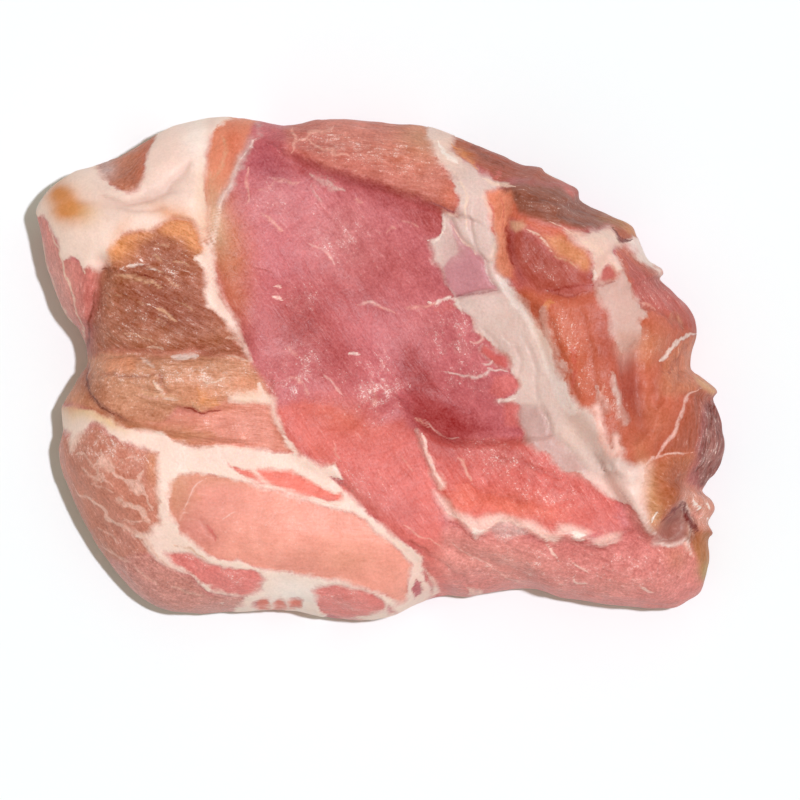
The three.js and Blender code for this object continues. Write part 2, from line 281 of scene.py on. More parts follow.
def valueNoise(p, seed):  # smooth random values between -1 and 1 on a unit lattice
    cell = np.floor(p).astype(np.int64)
    part = p - cell
    fade = part ** 3 * (part * (part * 6 - 15) + 10)
    total = np.zeros(len(p))
    for corner in range(8):
        step = np.array([corner & 1, corner >> 1 & 1, corner >> 2 & 1])
        at = cell + step
        mixed = at[:, 0] * 73856093 ^ at[:, 1] * 19349663 ^ at[:, 2] * 83492791 ^ seed * 26544357
        mixed = (mixed ^ (mixed >> 13)) * 1274126177 & 0x7FFFFFFF
        value = ((mixed >> 7) & 0xFFFF) / 32767.5 - 1
        total += np.prod(np.where(step == 1, fade, 1 - fade), axis=1) * value
    return total


def skinPlaces():
    rings = form["rings"]
    line = np.linspace(-1, 1, 2 * rings + 1)
    across, up = (grid.ravel() for grid in np.meshgrid(line, line))
    way = np.maximum(np.abs(across), np.abs(up))
    safe = np.where(way == 0, 1, way)
    flat = np.abs(across) >= np.abs(up)
    angle = np.where(
        flat,
        math.pi / 4 * up / np.where(flat & (way > 0), across, safe) + math.pi * (across < 0),
        math.pi / 2 - math.pi / 4 * across / np.where(flat, safe, up) + math.pi * (up < 0),
    )
    top = 1 - form["wallShare"]
    edgeHeight, tuck = sideAt(angle, 2), sideAt(angle, 3)
    radius = radiusAt(angle)
    a = np.minimum(way / top, 1)
    slack = form["slackness"]
    narrow = 2 / slack - 1
    share = np.where(a < narrow, slack * a, 1 - slack / 2 / (1 - narrow) * (1 - a) ** 2)
    reach = smoothRadiusAt(angle)
    reach += (radius - reach) * smoothstep(0.6, 1, share)
    crown = np.sqrt(np.maximum(0, 1 - share ** sideAt(angle, 1)))
    turn = np.clip((way - top) / form["wallShare"], 0, 1) * math.pi / 2
    out = reach * share - tuck * (1 - np.cos(turn))
    unrolled = np.where(turn > 0, radius + (tuck + edgeHeight) * 0.6 * turn, out)
    direction = np.column_stack([np.cos(angle), np.sin(angle)])
    paint = direction * unrolled[:, None]
    upperHeight = edgeHeight + (form["crownHeight"] - edgeHeight) * crown
    z = np.where(turn > 0, edgeHeight * (1 - np.sin(turn)), upperHeight)
    z += reliefAt(paint) * (1 - smoothstep(0.86, 1, share)) * (turn == 0)
    places = np.column_stack([direction * out[:, None], z])
    under = turn / (math.pi / 2)
    return places, paint, under


# Finishes as they look in soft daylight, in sRGB from 0 to 255.
finishes = {
    # bedDark is both darker meat and painted shade in the bed's hollow and under the upper flap
    "bedPink": (205, 116, 120), "bedRose": (211, 133, 133), "bedDark": (166, 76, 76),
    "bedRed": (178, 88, 86), "bedOrange": (196, 114, 84), "bedMauve": (168, 84, 92),
    "sidePink": (220, 140, 131), "sideRed": (196, 108, 102), "sidePale": (230, 172, 162),
    "brown": (172, 105, 84), "brownLight": (190, 128, 104), "brownRed": (150, 84, 68),
    # the roll's third finish is painted shade along its lower edge
    "roll": (210, 149, 121), "rollOrange": (222, 150, 118), "rollDark": (176, 108, 82),
    "knob": (214, 146, 114), "capLean": (198, 124, 98), "ridge": (206, 130, 104),
    "underPink": (224, 144, 126), "underTan": (204, 138, 106),
    "stripOrange": (230, 144, 116), "stripCream": (222, 178, 150),
    "flapRose": (209, 130, 116), "flapOlive": (201, 144, 116), "flapRed": (194, 104, 94),
    "stripBrown": (171, 95, 78), "stripRust": (188, 110, 76), "fan": (152, 95, 80),
    "edgeOrange": (212, 114, 88), "block": (174, 88, 77), "bandOrange": (214, 140, 102),
    "shoulder": (200, 108, 86), "shoulderDull": (184, 96, 82), "shoulderTan": (202, 128, 102),
    "rightRed": (188, 98, 90), "rightPink": (206, 112, 104), "lobe": (188, 112, 82),
    "lobeTan": (206, 146, 106), "lobeBrown": (174, 98, 80), "wall": (154, 100, 94),
    "wallPink": (178, 116, 108), "pocket": (160, 104, 94), "scrap": (216, 146, 126),
    "tail": (184, 118, 78), "tailOlive": (176, 140, 86),
    "lowPink": (223, 138, 132), "lowPale": (228, 152, 142), "lowRose": (208, 118, 114),
    "ragged": (216, 110, 102), "raggedWarm": (236, 126, 108), "redMuscle": (222, 118, 111),
    "redMuscleDull": (208, 118, 112), "redOrange": (212, 110, 94),
    "eye": (245, 166, 149), "eyeTan": (216, 152, 124), "eyeRose": (218, 140, 128),
    "strip": (244, 134, 120), "round": (232, 138, 132), "roundDeep": (222, 122, 116),
    "small": (226, 128, 112), "marbled": (204, 134, 115), "marbledTan": (212, 142, 110),
    "lowLean": (212, 146, 136), "lowLeanDark": (206, 138, 126),
    # fat
    "fat": (249, 218, 204), "fatPink": (247, 212, 200), "fatGrey": (229, 198, 186),
    "fatWarm": (240, 206, 178), "fatYellow": (232, 190, 142), "stain": (214, 140, 86),
    "fatWhite": (252, 236, 229), "orangeFat": (224, 150, 106),
    # silverskin, films and dried surface
    "silver": (228, 203, 194), "silverGrey": (204, 170, 164), "silverCream": (244, 212, 196),
    "mauveFilm": (202, 142, 148), "paleFilm": (218, 184, 174), "fringe": (250, 206, 194),
    "whiteFilm": (240, 218, 208), "pocketFilm": (172, 122, 114),
    # strokes; the four darkest (a mauve, a red, a brown and a near-black red) are painted shade in creases,
    # gaps and under edges
    "white": (252, 232, 222), "cream": (243, 208, 188), "pinkPale": (238, 176, 160),
    "rosePale": (230, 152, 136), "tanPale": (218, 166, 136), "orangePale": (228, 152, 104),
    "greyPale": (204, 176, 166), "vein": (236, 188, 172), "mauveDark": (166, 104, 108),
    "redDark": (160, 68, 60),
    "brownDark": (138, 76, 60), "deep": (116, 46, 34), "rust": (190, 104, 70), "rose": (208, 98, 92),
}

fibreDirections = (-55, -27, -4, 78)  # degrees from +X

# The lean where no muscle is drawn.
bed = {"finish": "bedPink", "grain": -50, "fibres": 0.25, "specks": 0.6}

# Lean muscles: finish, edge softness, grain direction in degrees, fibres, specks (how strong the fine
# mottling and the painted glints are), edge line.
leanAreas = {
    "sideWall": ("sidePink", 1.6, 75, 0.7, 0.6, [
        (-130, 62), (-119, 56), (-117.8, 53.6), (-114.5, 49), (-112.6, 43), (-110.4, 38.7), (-104.7, 38),
        (-98.1, 34.5), (-97.5, 30), (-98.6, 24), (-103.8, 4), (-106, 0), (-120, -2), (-134, 20)]),
    "brownMuscle": ("brown", 1.6, -27, 1.1, 0.7, [
        (-98.1, 34.1), (-95.5, 36.1), (-93.9, 39.7), (-88.8, 47.9), (-81.6, 49), (-72.4, 52.6), (-67.3, 51),
        (-63.7, 46), (-62, 41), (-59, 23.3), (-55, 20.2), (-50, 13), (-46, 4), (-60, 5.5), (-92, 6.5),
        (-102.5, 4.8), (-101, 15), (-98.6, 24), (-97.5, 30)]),
    "foldedRoll": ("roll", 1.8, -6, 0.7, 0.9, [
        (-103.8, 4.5), (-92, 6.5), (-60, 5.5), (-46, 4), (-43, 0), (-38, -10), (-52, -9.7), (-57, -12),
        (-62, -15), (-72, -14), (-76, -19), (-85, -19.5), (-93, -16), (-98.2, -12.3), (-101.8, -8.7),
        (-103.4, -4.6), (-102.5, -0.5), (-104.5, 1.5)]),
    "underRoll": ("underPink", 1.8, -8, 0.7, 0.3, [
        (-90, -20), (-86, -19.3), (-76, -18.8), (-72, -14.5), (-62, -15.5), (-52, -10), (-36, -10),
        (-35.5, -14), (-34, -19), (-31, -24), (-27, -29), (-40, -28), (-66, -27.5)]),
    "leftKnob": ("knob", 2, -40, 0.5, 0.4, [
        (-128, 4), (-104, 1), (-103.4, -4.6), (-101.8, -8.7), (-98.2, -12.3), (-93, -16), (-90, -20),
        (-104, -13.5), (-110, -12), (-128, -10)]),
    "seamStrip": ("stripOrange", 1.6, 80, 0.3, 0.2, [
        (-58, 100), (-43, 100), (-43.5, 86), (-47, 79), (-51, 68), (-58.5, 50), (-61, 52), (-62, 65),
        (-61, 73.6), (-59.6, 81)]),
    "capLean": ("capLean", 0.9, 60, 0.8, 0.2, [
        (-78.5, 80.5), (-81.1, 73.6), (-81.6, 70), (-82.7, 66.4), (-84.7, 63.3), (-87.3, 61.8),
        (-89.8, 61.5), (-95, 64.4), (-95.7, 66.4), (-98.1, 69), (-104, 84), (-84, 98)]),
    "upperFlap": ("flapRose", 2, -12, 0.5, 0.7, [
        (-33, 76), (-32, 100), (0, 110), (24, 100), (17, 84), (18, 78.3), (20.1, 73.7), (23.6, 69.1),
        (26.7, 59.8), (27.2, 56.8), (26.7, 53.2), (21, 54.5), (13, 59.3), (2.8, 61.8), (-17.7, 69.6),
        (-24.4, 73)]),
    "darkStrip": ("stripBrown", 1.8, -25, 0.6, 0.4, [
        (24, 82), (32, 102), (64, 92), (84, 74), (70.4, 60), (64.2, 64.4), (56.5, 64), (46.2, 66),
        (43.2, 65), (40.6, 66), (37, 69.1), (31.9, 72.2), (27.8, 75.8)]),
    "brownFan": ("fan", 2, -10, 0.7, 0.1, [
        (43.2, 64), (51.4, 64.8), (56.5, 63.8), (63.7, 64), (72, 62), (82, 64), (98, 58), (92, 48),
        (86, 46), (84, 49), (81.2, 50.6), (77, 48.6), (70.9, 48), (56.5, 50.1), (49.3, 52.1), (41.1, 61.9)]),
    "shoulder": ("shoulder", 1.8, 78, 0.25, 0.35, [
        (47, 28), (55, 27.5), (61.6, 26.5), (72, 27), (76, 31), (82, 40), (84, 44), (92, 40), (104, 40),
        (118, 26), (128, 10), (128, -12), (116, -12), (112, -13), (109.5, -31), (105, -46), (98.5, -52.2),
        (97, -58), (92.9, -56.7), (87.3, -47.2), (80, -38), (71.9, -38), (64, -35), (50.6, -25.7), (48, -5),
        (45, 2), (43, 5), (37, 11.7), (35, 16), (40, 22)]),
    "edgeOrange": ("edgeOrange", 2.4, 80, 0.6, 0.5, [
        (37, 59.8), (41.1, 61.9), (46.2, 56.8), (49.3, 52.1), (45, 52), (44, 47), (46.2, 36.2), (48, 30),
        (43.2, 31.6), (40.6, 36.2), (41.5, 42.9), (39.1, 50.6)]),
    "redBlock": ("block", 3.4, -42, 0.4, 0.3, [
        (44.4, 52.4), (49.3, 49.8), (55.5, 45.7), (66.8, 35.8), (71.9, 33.3), (74.5, 29.6), (71.9, 26.8),
        (61.6, 26), (55, 27), (49.3, 32.1), (46.4, 36.2), (44.9, 44.4)]),
    "bandOrange": ("bandOrange", 2.8, -38, 0.6, 0.4, [
        (56.5, 46.6), (61, 46.5), (64.2, 45.5), (71.9, 38.8), (73, 35), (71.4, 34), (66.8, 36)]),
    "fanFoot": ("edgeOrange", 2.8, -20, 0.6, 0.3, [
        (49.3, 52.1), (56.5, 50.1), (65.7, 48.4), (70, 47), (64, 45.5), (58, 47), (55, 46.6),
        (50, 50)]),
    "rightRed": ("rightRed", 2, -50, 0.6, 0.4, [
        (82.3, 41.9), (85.3, 40.9), (88.4, 36.8), (92.5, 34.2), (99, 32), (108, 34), (122, 26), (126, 12),
        (109.7, 13.4), (103.5, 14.7), (101.8, 19.3), (91.5, 22.4), (88.6, 26), (85.3, 34.2), (83.3, 37.8)]),
    "ridgeFoot": ("ridge", 2, 80, 0.8, 0.3, [
        (109.7, 12.6), (106.4, 10.9), (103.8, 8.9), (99.2, 3), (97.5, -2), (98, -10), (108, -8.4),
        (114, -6), (124, -4), (128, 8), (122, 14)]),
    "lobeMuscle": ("lobeBrown", 2.4, 62, 0.9, 0.2, [
        (113, -7.4), (110.2, -8), (108.3, -10.4), (106.7, -14), (105.6, -18.5), (102.8, -23), (97.5, -29.4),
        (110, -29), (112.5, -22), (112, -13), (115, -9)]),
    "lobe": ("lobe", 3, -32, 1, 0.2, [
        (96.8, -31), (102, -29.8), (109.5, -29.8), (109, -36), (107, -40), (105.2, -46.1), (101.8, -50),
        (98.5, -52.2), (97.9, -55.6), (96.4, -58), (93.4, -57.3), (91.5, -42), (92, -36)]),
    "rightWall": ("wall", 3, 84, 2.4, 0.6, [
        (111.9, -12), (116.3, -9.4), (120, -9), (125, -14), (122.6, -19), (127, -24), (131, -30),
        (127, -34), (129, -39), (122, -41), (118, -44), (113, -43.5), (109.4, -40), (109.6, -31.6),
        (112.4, -22.7)]),
    "neckPocket": ("pocket", 2, 20, 0.3, 0.2, [
        (106.8, -46), (108.5, -52.2), (107.8, -59.5), (101.8, -61.8), (96.2, -61), (98.8, -53.4),
        (105.2, -46.5)]),
    "neckScraps": ("scrap", 1.6, 70, 0.5, 0.9, [
        (105.2, -39.4), (109.1, -40.5), (112.5, -43), (128, -46), (130, -57), (111.3, -57), (108, -52.2),
        (105.4, -43)]),
    "neckTail": ("tail", 2, 70, 0.6, 0.5, [
        (108.2, -52.5), (111.3, -56.8), (132, -57), (132, -78), (114, -77), (111.5, -70), (107.8, -63),
        (107.4, -57)]),
    "lowerMuscle": ("lowPink", 2, -22, 0.5, 0.9, [
        (20, -104), (20.5, -79), (17, -74), (15, -69.5), (15.5, -64), (19, -56), (24, -53), (28, -54.4),
        (34, -58.5), (44, -52.5), (51.6, -58.4), (62.8, -60.7), (65.3, -57), (70.6, -60), (73, -60),
        (77.8, -62.6), (83, -59.6), (86, -54), (82, -42), (88, -47), (92.5, -57.4), (96, -60),
        (101.8, -61.8), (107.8, -60.5), (111.5, -69), (113.5, -78), (128, -84), (112, -104)]),
    "raggedFlap": ("ragged", 1.4, -62, 0.5, 0.5, [
        (11.3, -13.4), (13.4, -19), (15, -26.8), (17.5, -31.4), (19, -36), (19.5, -43.2), (23.8, -48.8),
        (24.7, -51.6), (28.1, -53.6), (30.2, -53.8), (33.3, -57.7), (38.3, -56.2), (44, -52.5),
        (48.8, -54.2), (51.6, -57.8), (56.1, -58), (59.4, -60.9), (62.8, -60.1), (65, -56.4), (66.7, -57.8),
        (70.6, -59.5), (71.9, -56.7), (74.5, -57), (77.8, -61.8), (82.3, -59.5), (84, -55), (82.3, -43),
        (77, -41.5), (71.9, -38.1), (64.2, -35), (58.6, -29.8), (48, -24), (38, -25.6), (26, -24.6),
        (18, -20)]),
    "redMuscle": ("redMuscle", 2, -55, 0.4, 0.4, [
        (-36.2, -13), (-34.1, -19.5), (-31.6, -23.6), (-27.4, -28.7), (-24.4, -31.4), (-20.3, -33.5),
        (-14.1, -34), (-12, -37.5), (-13, -41), (3, -55.8), (13.2, -63), (15.5, -66), (17, -74), (20, -80),
        (25, -79), (22, -66), (21, -56), (22, -50), (19, -44), (18.6, -36), (12.6, -22), (8, -17), (-4, -20),
        (-16, -14), (-26, -11)]),
    "eyeMuscle": ("eye", 0.9, -14, 0.2, 0.1, [
        (-73.6, -40.4), (-69.5, -36.8), (-64.4, -35.8), (-54.1, -37.6), (-35.2, -42.5), (-17.6, -48),
        (-10.4, -49.5), (-5.2, -52.1), (-1.6, -56.2), (4, -60.3), (11.6, -67.8), (9.4, -73.4), (9.6, -77.4),
        (8.6, -80.8), (5.5, -80.3), (1.4, -77.7), (-15.5, -73.6), (-31.9, -71.6), (-39.7, -70.2),
        (-44.9, -68.2), (-49, -65.6), (-52.6, -66.6), (-56.7, -65.6), (-61.8, -62), (-66.4, -59.4),
        (-69.5, -56.9), (-70.2, -53.6), (-71.5, -52.8), (-73.6, -49), (-74.1, -44.1)]),
    "stripMuscle": ("strip", 2, -14, 0.5, 0.2, [
        (-54, -33), (-42, -33.6), (-31, -33.5), (-12, -42), (-12, -46.4), (-24, -45), (-38, -41.5),
        (-50, -36)]),
    "roundMuscles": ("round", 0.9, -20, 0.4, 0.5, [
        (-75.1, -64.3), (-70.5, -63.5), (-66.4, -64.3), (-61.8, -66.1), (-55.1, -69.7), (-44.9, -70.2),
        (-41.8, -72.3), (-40.7, -74.8), (-42.8, -77.9), (-46.9, -79.7), (-54.1, -79.2), (-59.2, -77.4),
        (-60, -75.9), (-63.3, -74.6), (-70.5, -69), (-73.1, -67.5)]),
    "bottomRound": ("round", 0.9, -10, 0.4, 0.5, [
        (-24.2, -77.9), (-20.1, -76.4), (-15.5, -75.6), (-3.2, -77.9), (0.9, -79.8), (2, -81.8),
        (0.9, -83.7), (-3.2, -84.8), (-6.3, -86.6), (-13.4, -87.2), (-20.1, -85.9), (-22.2, -83.9),
        (-22.4, -80.8)]),
    "lowerWall": ("roundDeep", 2, -10, 0.5, 0.6, [(-56, -88), (20, -88), (20, -110), (-56, -110)]),
    "smallRounds": ("small", 1, 0, 0.2, 0.3, [(-43, -80), (-27, -80.6), (-26, -100), (-44, -100)]),
    "marbledMuscle": ("marbled", 1.8, -42, 0.5, 0.8, [
        (-99.3, -18.5), (-95.7, -22.1), (-92.1, -24.6), (-80.8, -29), (-76.4, -29), (-76, -41),
        (-76.4, -54), (-80, -60), (-79, -65.5), (-86, -66), (-94, -68), (-106, -78), (-124, -66),
        (-132, -30), (-124, -12), (-111.6, -17), (-110, -24), (-106, -24)]),
    "lowLean": ("lowLean", 2, -30, 0.5, 1.2, [
        (-79.5, -66.4), (-66.9, -72.5), (-60.3, -78.2), (-55.1, -80), (-46.9, -80.6), (-51.5, -84.5),
        (-58, -100), (-90, -96), (-108, -80), (-94, -68), (-87, -65)]),
}

# Soft changes of colour: finish, middle, half lengths, turn, strength.
leanWashes = [
    ("silverGrey", (-96, 70), (4, 4), -40, 0.9), ("brownRed", (-86, 66), (3, 5), 60, 0.5),
    ("edgeOrange", (-82, 74), (2.4, 7), -10, 0.6), ("brownLight", (-90, 31), (7, 3), -10, 0.7),
    ("bedRose", (-14, 45), (15, 13), -50, 0.75), ("bedOrange", (-53, 42), (7, 20), 6, 1.1),
    ("bedOrange", (-50, 24), (5, 10), 20, 0.6), ("bedMauve", (-38, 72), (11, 8), -10, 0.85),
    ("bedRose", (-37, 57), (9, 7), 0, 0.5), ("bedRed", (-28, 16), (14, 13), -40, 1),
    ("bedRed", (-10, 28), (16, 9), -30, 0.55),
    # the next two washes: painted shade in the dimple's hollow, and a painted shadow under the upper flap
    ("bedDark", (24, -19), (15, 7), -8, 0.8), ("bedDark", (6, 58), (24, 4.5), -20, 0.75),
    ("bedRed", (16, 52), (8, 5), -20, 0.8), ("bedRed", (5, 36), (14, 8), -20, 0.5),
    ("bedRose", (14, 14), (10, 9), 0, 0.35), ("bedRose", (-28, -1), (8, 7), 0, 0.3),
    ("bedRose", (-2, -8), (7, 7), -40, 0.2), ("bedRed", (-14, 2), (8, 12), 10, 0.6),
    ("redOrange", (-14, -17), (14, 7), -14, 0.85), ("bedRose", (-38, 6), (6, 9), 20, 0.4),
    # the next two washes are painted shade in the dimple's hollow
    ("bedDark", (14, -6), (6, 18), 24, 1), ("bedDark", (22, -16), (12, 7), -24, 0.8),
    ("bedRed", (40, 4), (5, 3), -20, 0.6),
    ("bedMauve", (30, 35), (8, 8), 0, 0.8),
    ("sideRed", (-101, 28), (3.4, 9), 8, 0.7), ("sideRed", (-102, 10), (3, 6), 8, 0.6),
    ("sidePale", (-112, 30), (3, 16), 14, 0.5),
    ("brownRed", (-80, 26), (13, 6), -20, 0.4), ("brownRed", (-70, 18), (12, 6), -20, 0.5),
    ("orangePale", (-91, 42), (5, 4.5), 50, 0.9), ("bandOrange", (-70, 49), (9, 4.5), -24, 1.2),
    ("bandOrange", (-64, 43), (3, 6), 10, 0.7), ("brownLight", (-96, 27), (4, 12), 8, 0.5),
    ("brownLight", (-84, 10), (16, 5), 0, 0.6), ("brownLight", (-56, 10), (6, 6), 0, 0.6),
    ("rollOrange", (-94, 1), (9, 4), -8, 0.7), ("rollOrange", (-62, -9), (10, 5), -10, 0.8),
    # the roll's darkening washes on this and the next two lines are painted shade along its lower edge
    ("rollOrange", (-45, -6), (6, 3.6), -20, 1), ("rollDark", (-98, -8), (4, 7), 30, 0.6),
    ("rollDark", (-80, -16), (10, 3), -6, 0.5), ("rollDark", (-104, -4), (4, 6), 10, 0.8),
    ("rollDark", (-92, -18), (8, 2.4), -22, 0.7), ("underTan", (-68, -23), (12, 3.4), -10, 0.9),
    ("underTan", (-86, -20), (8, 2), -10, 0.8), ("stripCream", (-58, 52), (4, 12), 6, 1),
    ("edgeOrange", (-52, 80), (3, 6), 0, 0.6),
    ("flapOlive", (14, 81), (9, 7), -30, 0.9), ("flapRed", (-26, 78), (8, 8), 0, 0.7),
    ("flapRed", (-8, 72), (14, 4), -20, 0.45), ("edgeOrange", (8, 76), (12, 6), -15, 0.35),
    ("edgeOrange", (24, 60), (3, 7), -10, 0.5),
    ("stripRust", (30, 76), (5, 2), -40, 0.9), ("stripRust", (60, 68), (5, 2), -30, 0.6),
    ("brownLight", (82, 53), (6, 3), -30, 0.7), ("stripRust", (86, 48), (4, 4), 0, 0.9),
    ("rightPink", (66, 62.5), (4, 1.6), -25, 0.9),
    ("block", (42, 64), (4, 2), 0, 0.5), ("rightRed", (52, 30), (8, 3), 0, 0.4),
    ("edgeOrange", (64, 8), (5, 15), 15, 0.75), ("edgeOrange", (52, 26), (4, 4), 0, 0.6),
    ("shoulderDull", (78, 12), (5, 16), 12, 0.85), ("shoulderDull", (86, -8), (5, 12), 14, 0.8),
    ("shoulderTan", (97, 8), (6, 7), 30, 0.7),
    ("shoulderTan", (96, -18), (6, 10), 20, 0.4), ("bandOrange", (92, 7), (4, 5), 0, 0.5),
    ("edgeOrange", (73, -22), (3, 7), 10, 0.6), ("lobeBrown", (82, -26), (5, 6), 0, 0.4),
    ("rightPink", (98, 24), (6, 3.4), -45, 0.7), ("stripBrown", (106, 16), (4, 5), 0, 0.4),
    ("shoulderTan", (112, -5), (4, 4), 0, 0.5),
    ("lobeTan", (93, -42), (3.4, 12), 8, 1), ("lobeTan", (95, -52), (3, 4), 0, 1),
    ("lobeBrown", (104, -38), (4, 7), 20, 0.6), ("wallPink", (116, -26), (2, 9), 0, 0.5),
    ("scrap", (112, -50), (3, 4), 0, 0.4), ("tailOlive", (114, -71), (2.6, 4), 0, 0.9),
    ("lobeBrown", (110, -58), (2.6, 4), 10, 0.6),
    ("lowRose", (86, -58), (14, 6), -20, 0.7), ("lowRose", (66, -62), (12, 3.4), 0, 0.5),
    ("lowPale", (42, -67), (18, 7), -12, 0.9), ("lowPale", (26, -66), (8, 8), 0, 0.7),
    ("lowPale", (84, -76), (18, 4), 0, 0.5), ("tail", (104, -66), (5, 6), 30, 0.4),
    ("raggedWarm", (46, -48), (18, 4), -8, 0.9), ("raggedWarm", (28, -46), (5, 6), -50, 0.7),
    ("lowRose", (44, -30), (14, 4), -14, 0.6), ("bedRed", (26, -28), (12, 4), -8, 0.4),
    ("redOrange", (-22, -28), (9, 4), -40, 0.4), ("redMuscleDull", (-6, -44), (10, 3), -42, 0.8),
    ("lowRose", (6, -48), (8, 6), -50, 0.5),
    ("eyeTan", (-70, -44), (6, 10), 0, 1.2), ("eyeRose", (-64, -56), (9, 6), -25, 1),
    ("eyeRose", (-58, -46), (12, 9), -10, 0.6),
    ("eyeTan", (-58, -38), (12, 2.6), -6, 0.5), ("eyeRose", (-20, -70), (16, 3), -6, 0.3),
    ("eyeTan", (-12, -66), (10, 6), 0, 0.3),
    ("roundDeep", (-64, -67), (6, 3), -20, 0.6), ("roundDeep", (-48, -75), (4, 3), 0, 0.3),
    ("marbledTan", (-79, -33), (2.4, 6), 0, 0.9), ("marbledTan", (-107, -22), (3, 3), 0, 0.5),
    ("lowLeanDark", (-88, -60), (7, 6), -40, 0.5), ("sidePale", (-112, -36), (3, 12), 14, 0.5),
    ("lowLeanDark", (-74, -74), (8, 4), -30, 0.4), ("sidePale", (-92, -76), (12, 3), -38, 0.4),
]

# Painted sparkle on the lean, pale specks standing for the glitter of wet meat: middle, half lengths, turn,
# strength.
sparkles = [
    ((-52, -74), (5, 3), -14, 0.6), ((-65, -67.4), (5, 2), -20, 0.45), ((-11, -80), (6, 3), 0, 0.35),
    ((-15, 46), (10, 7), -40, 0.5), ((-27, 2), (7, 8), 0, 0.6), ((-1, -7), (8, 9), -50, 0.9),
    ((-30, -6), (6, 3), 0, 0.6), ((26, 11), (7, 9), 0, 0.55), ((30, -4), (7, 4), 0, 0.5),
    ((-26, 24), (6, 5), 0, 0.4), ((-38, 60), (6, 6), 0, 0.3), ((-62, -2), (16, 5), -5, 0.8),
    ((-90, -2), (12, 6), 0, 0.6), ((-82, 16), (16, 8), -20, 0.45), ((-76, 36), (10, 7), -30, 0.5),
    ((65, 12), (5, 10), 14, 0.5), ((70, -2), (4, 9), 12, 0.35), ((82, -14), (4, 6), 14, 0.7),
    ((95, 8), (5, 6), 20, 0.3), ((98, -52), (3, 3), 10, 0.6), ((-14, 78), (12, 5), -10, 0.6),
    ((6, 74), (12, 5), -15, 0.6), ((60, 57), (14, 5), -14, 0.3), ((56, 36), (8, 4), -30, 0.3),
    ((-95, -28), (12, 7), -20, 0.9), ((-92, -62), (8, 5), -40, 0.3), ((44, -57), (6, 2.4), 0, 0.9),
    ((50, -70), (24, 5), -8, 0.35), ((88, -70), (14, 6), 0, 0.35), ((42, -32), (14, 6), -10, 0.5),
    ((60, -45), (12, 7), -10, 0.45), ((112, -48), (4, 7), 0, 0.8), ((-56, -20), (14, 4), -8, 0.4),
    ((-40, -56), (26, 10), -10, 0.2), ((-14, -82), (9, 3), 0, 0.3), ((-6, -38), (12, 6), -40, 0.3),
    ((84, 44), (5, 3), -30, 0.5), ((96, 26), (6, 4), -40, 0.4), ((114, -26), (3, 10), 0, 0.6),
]

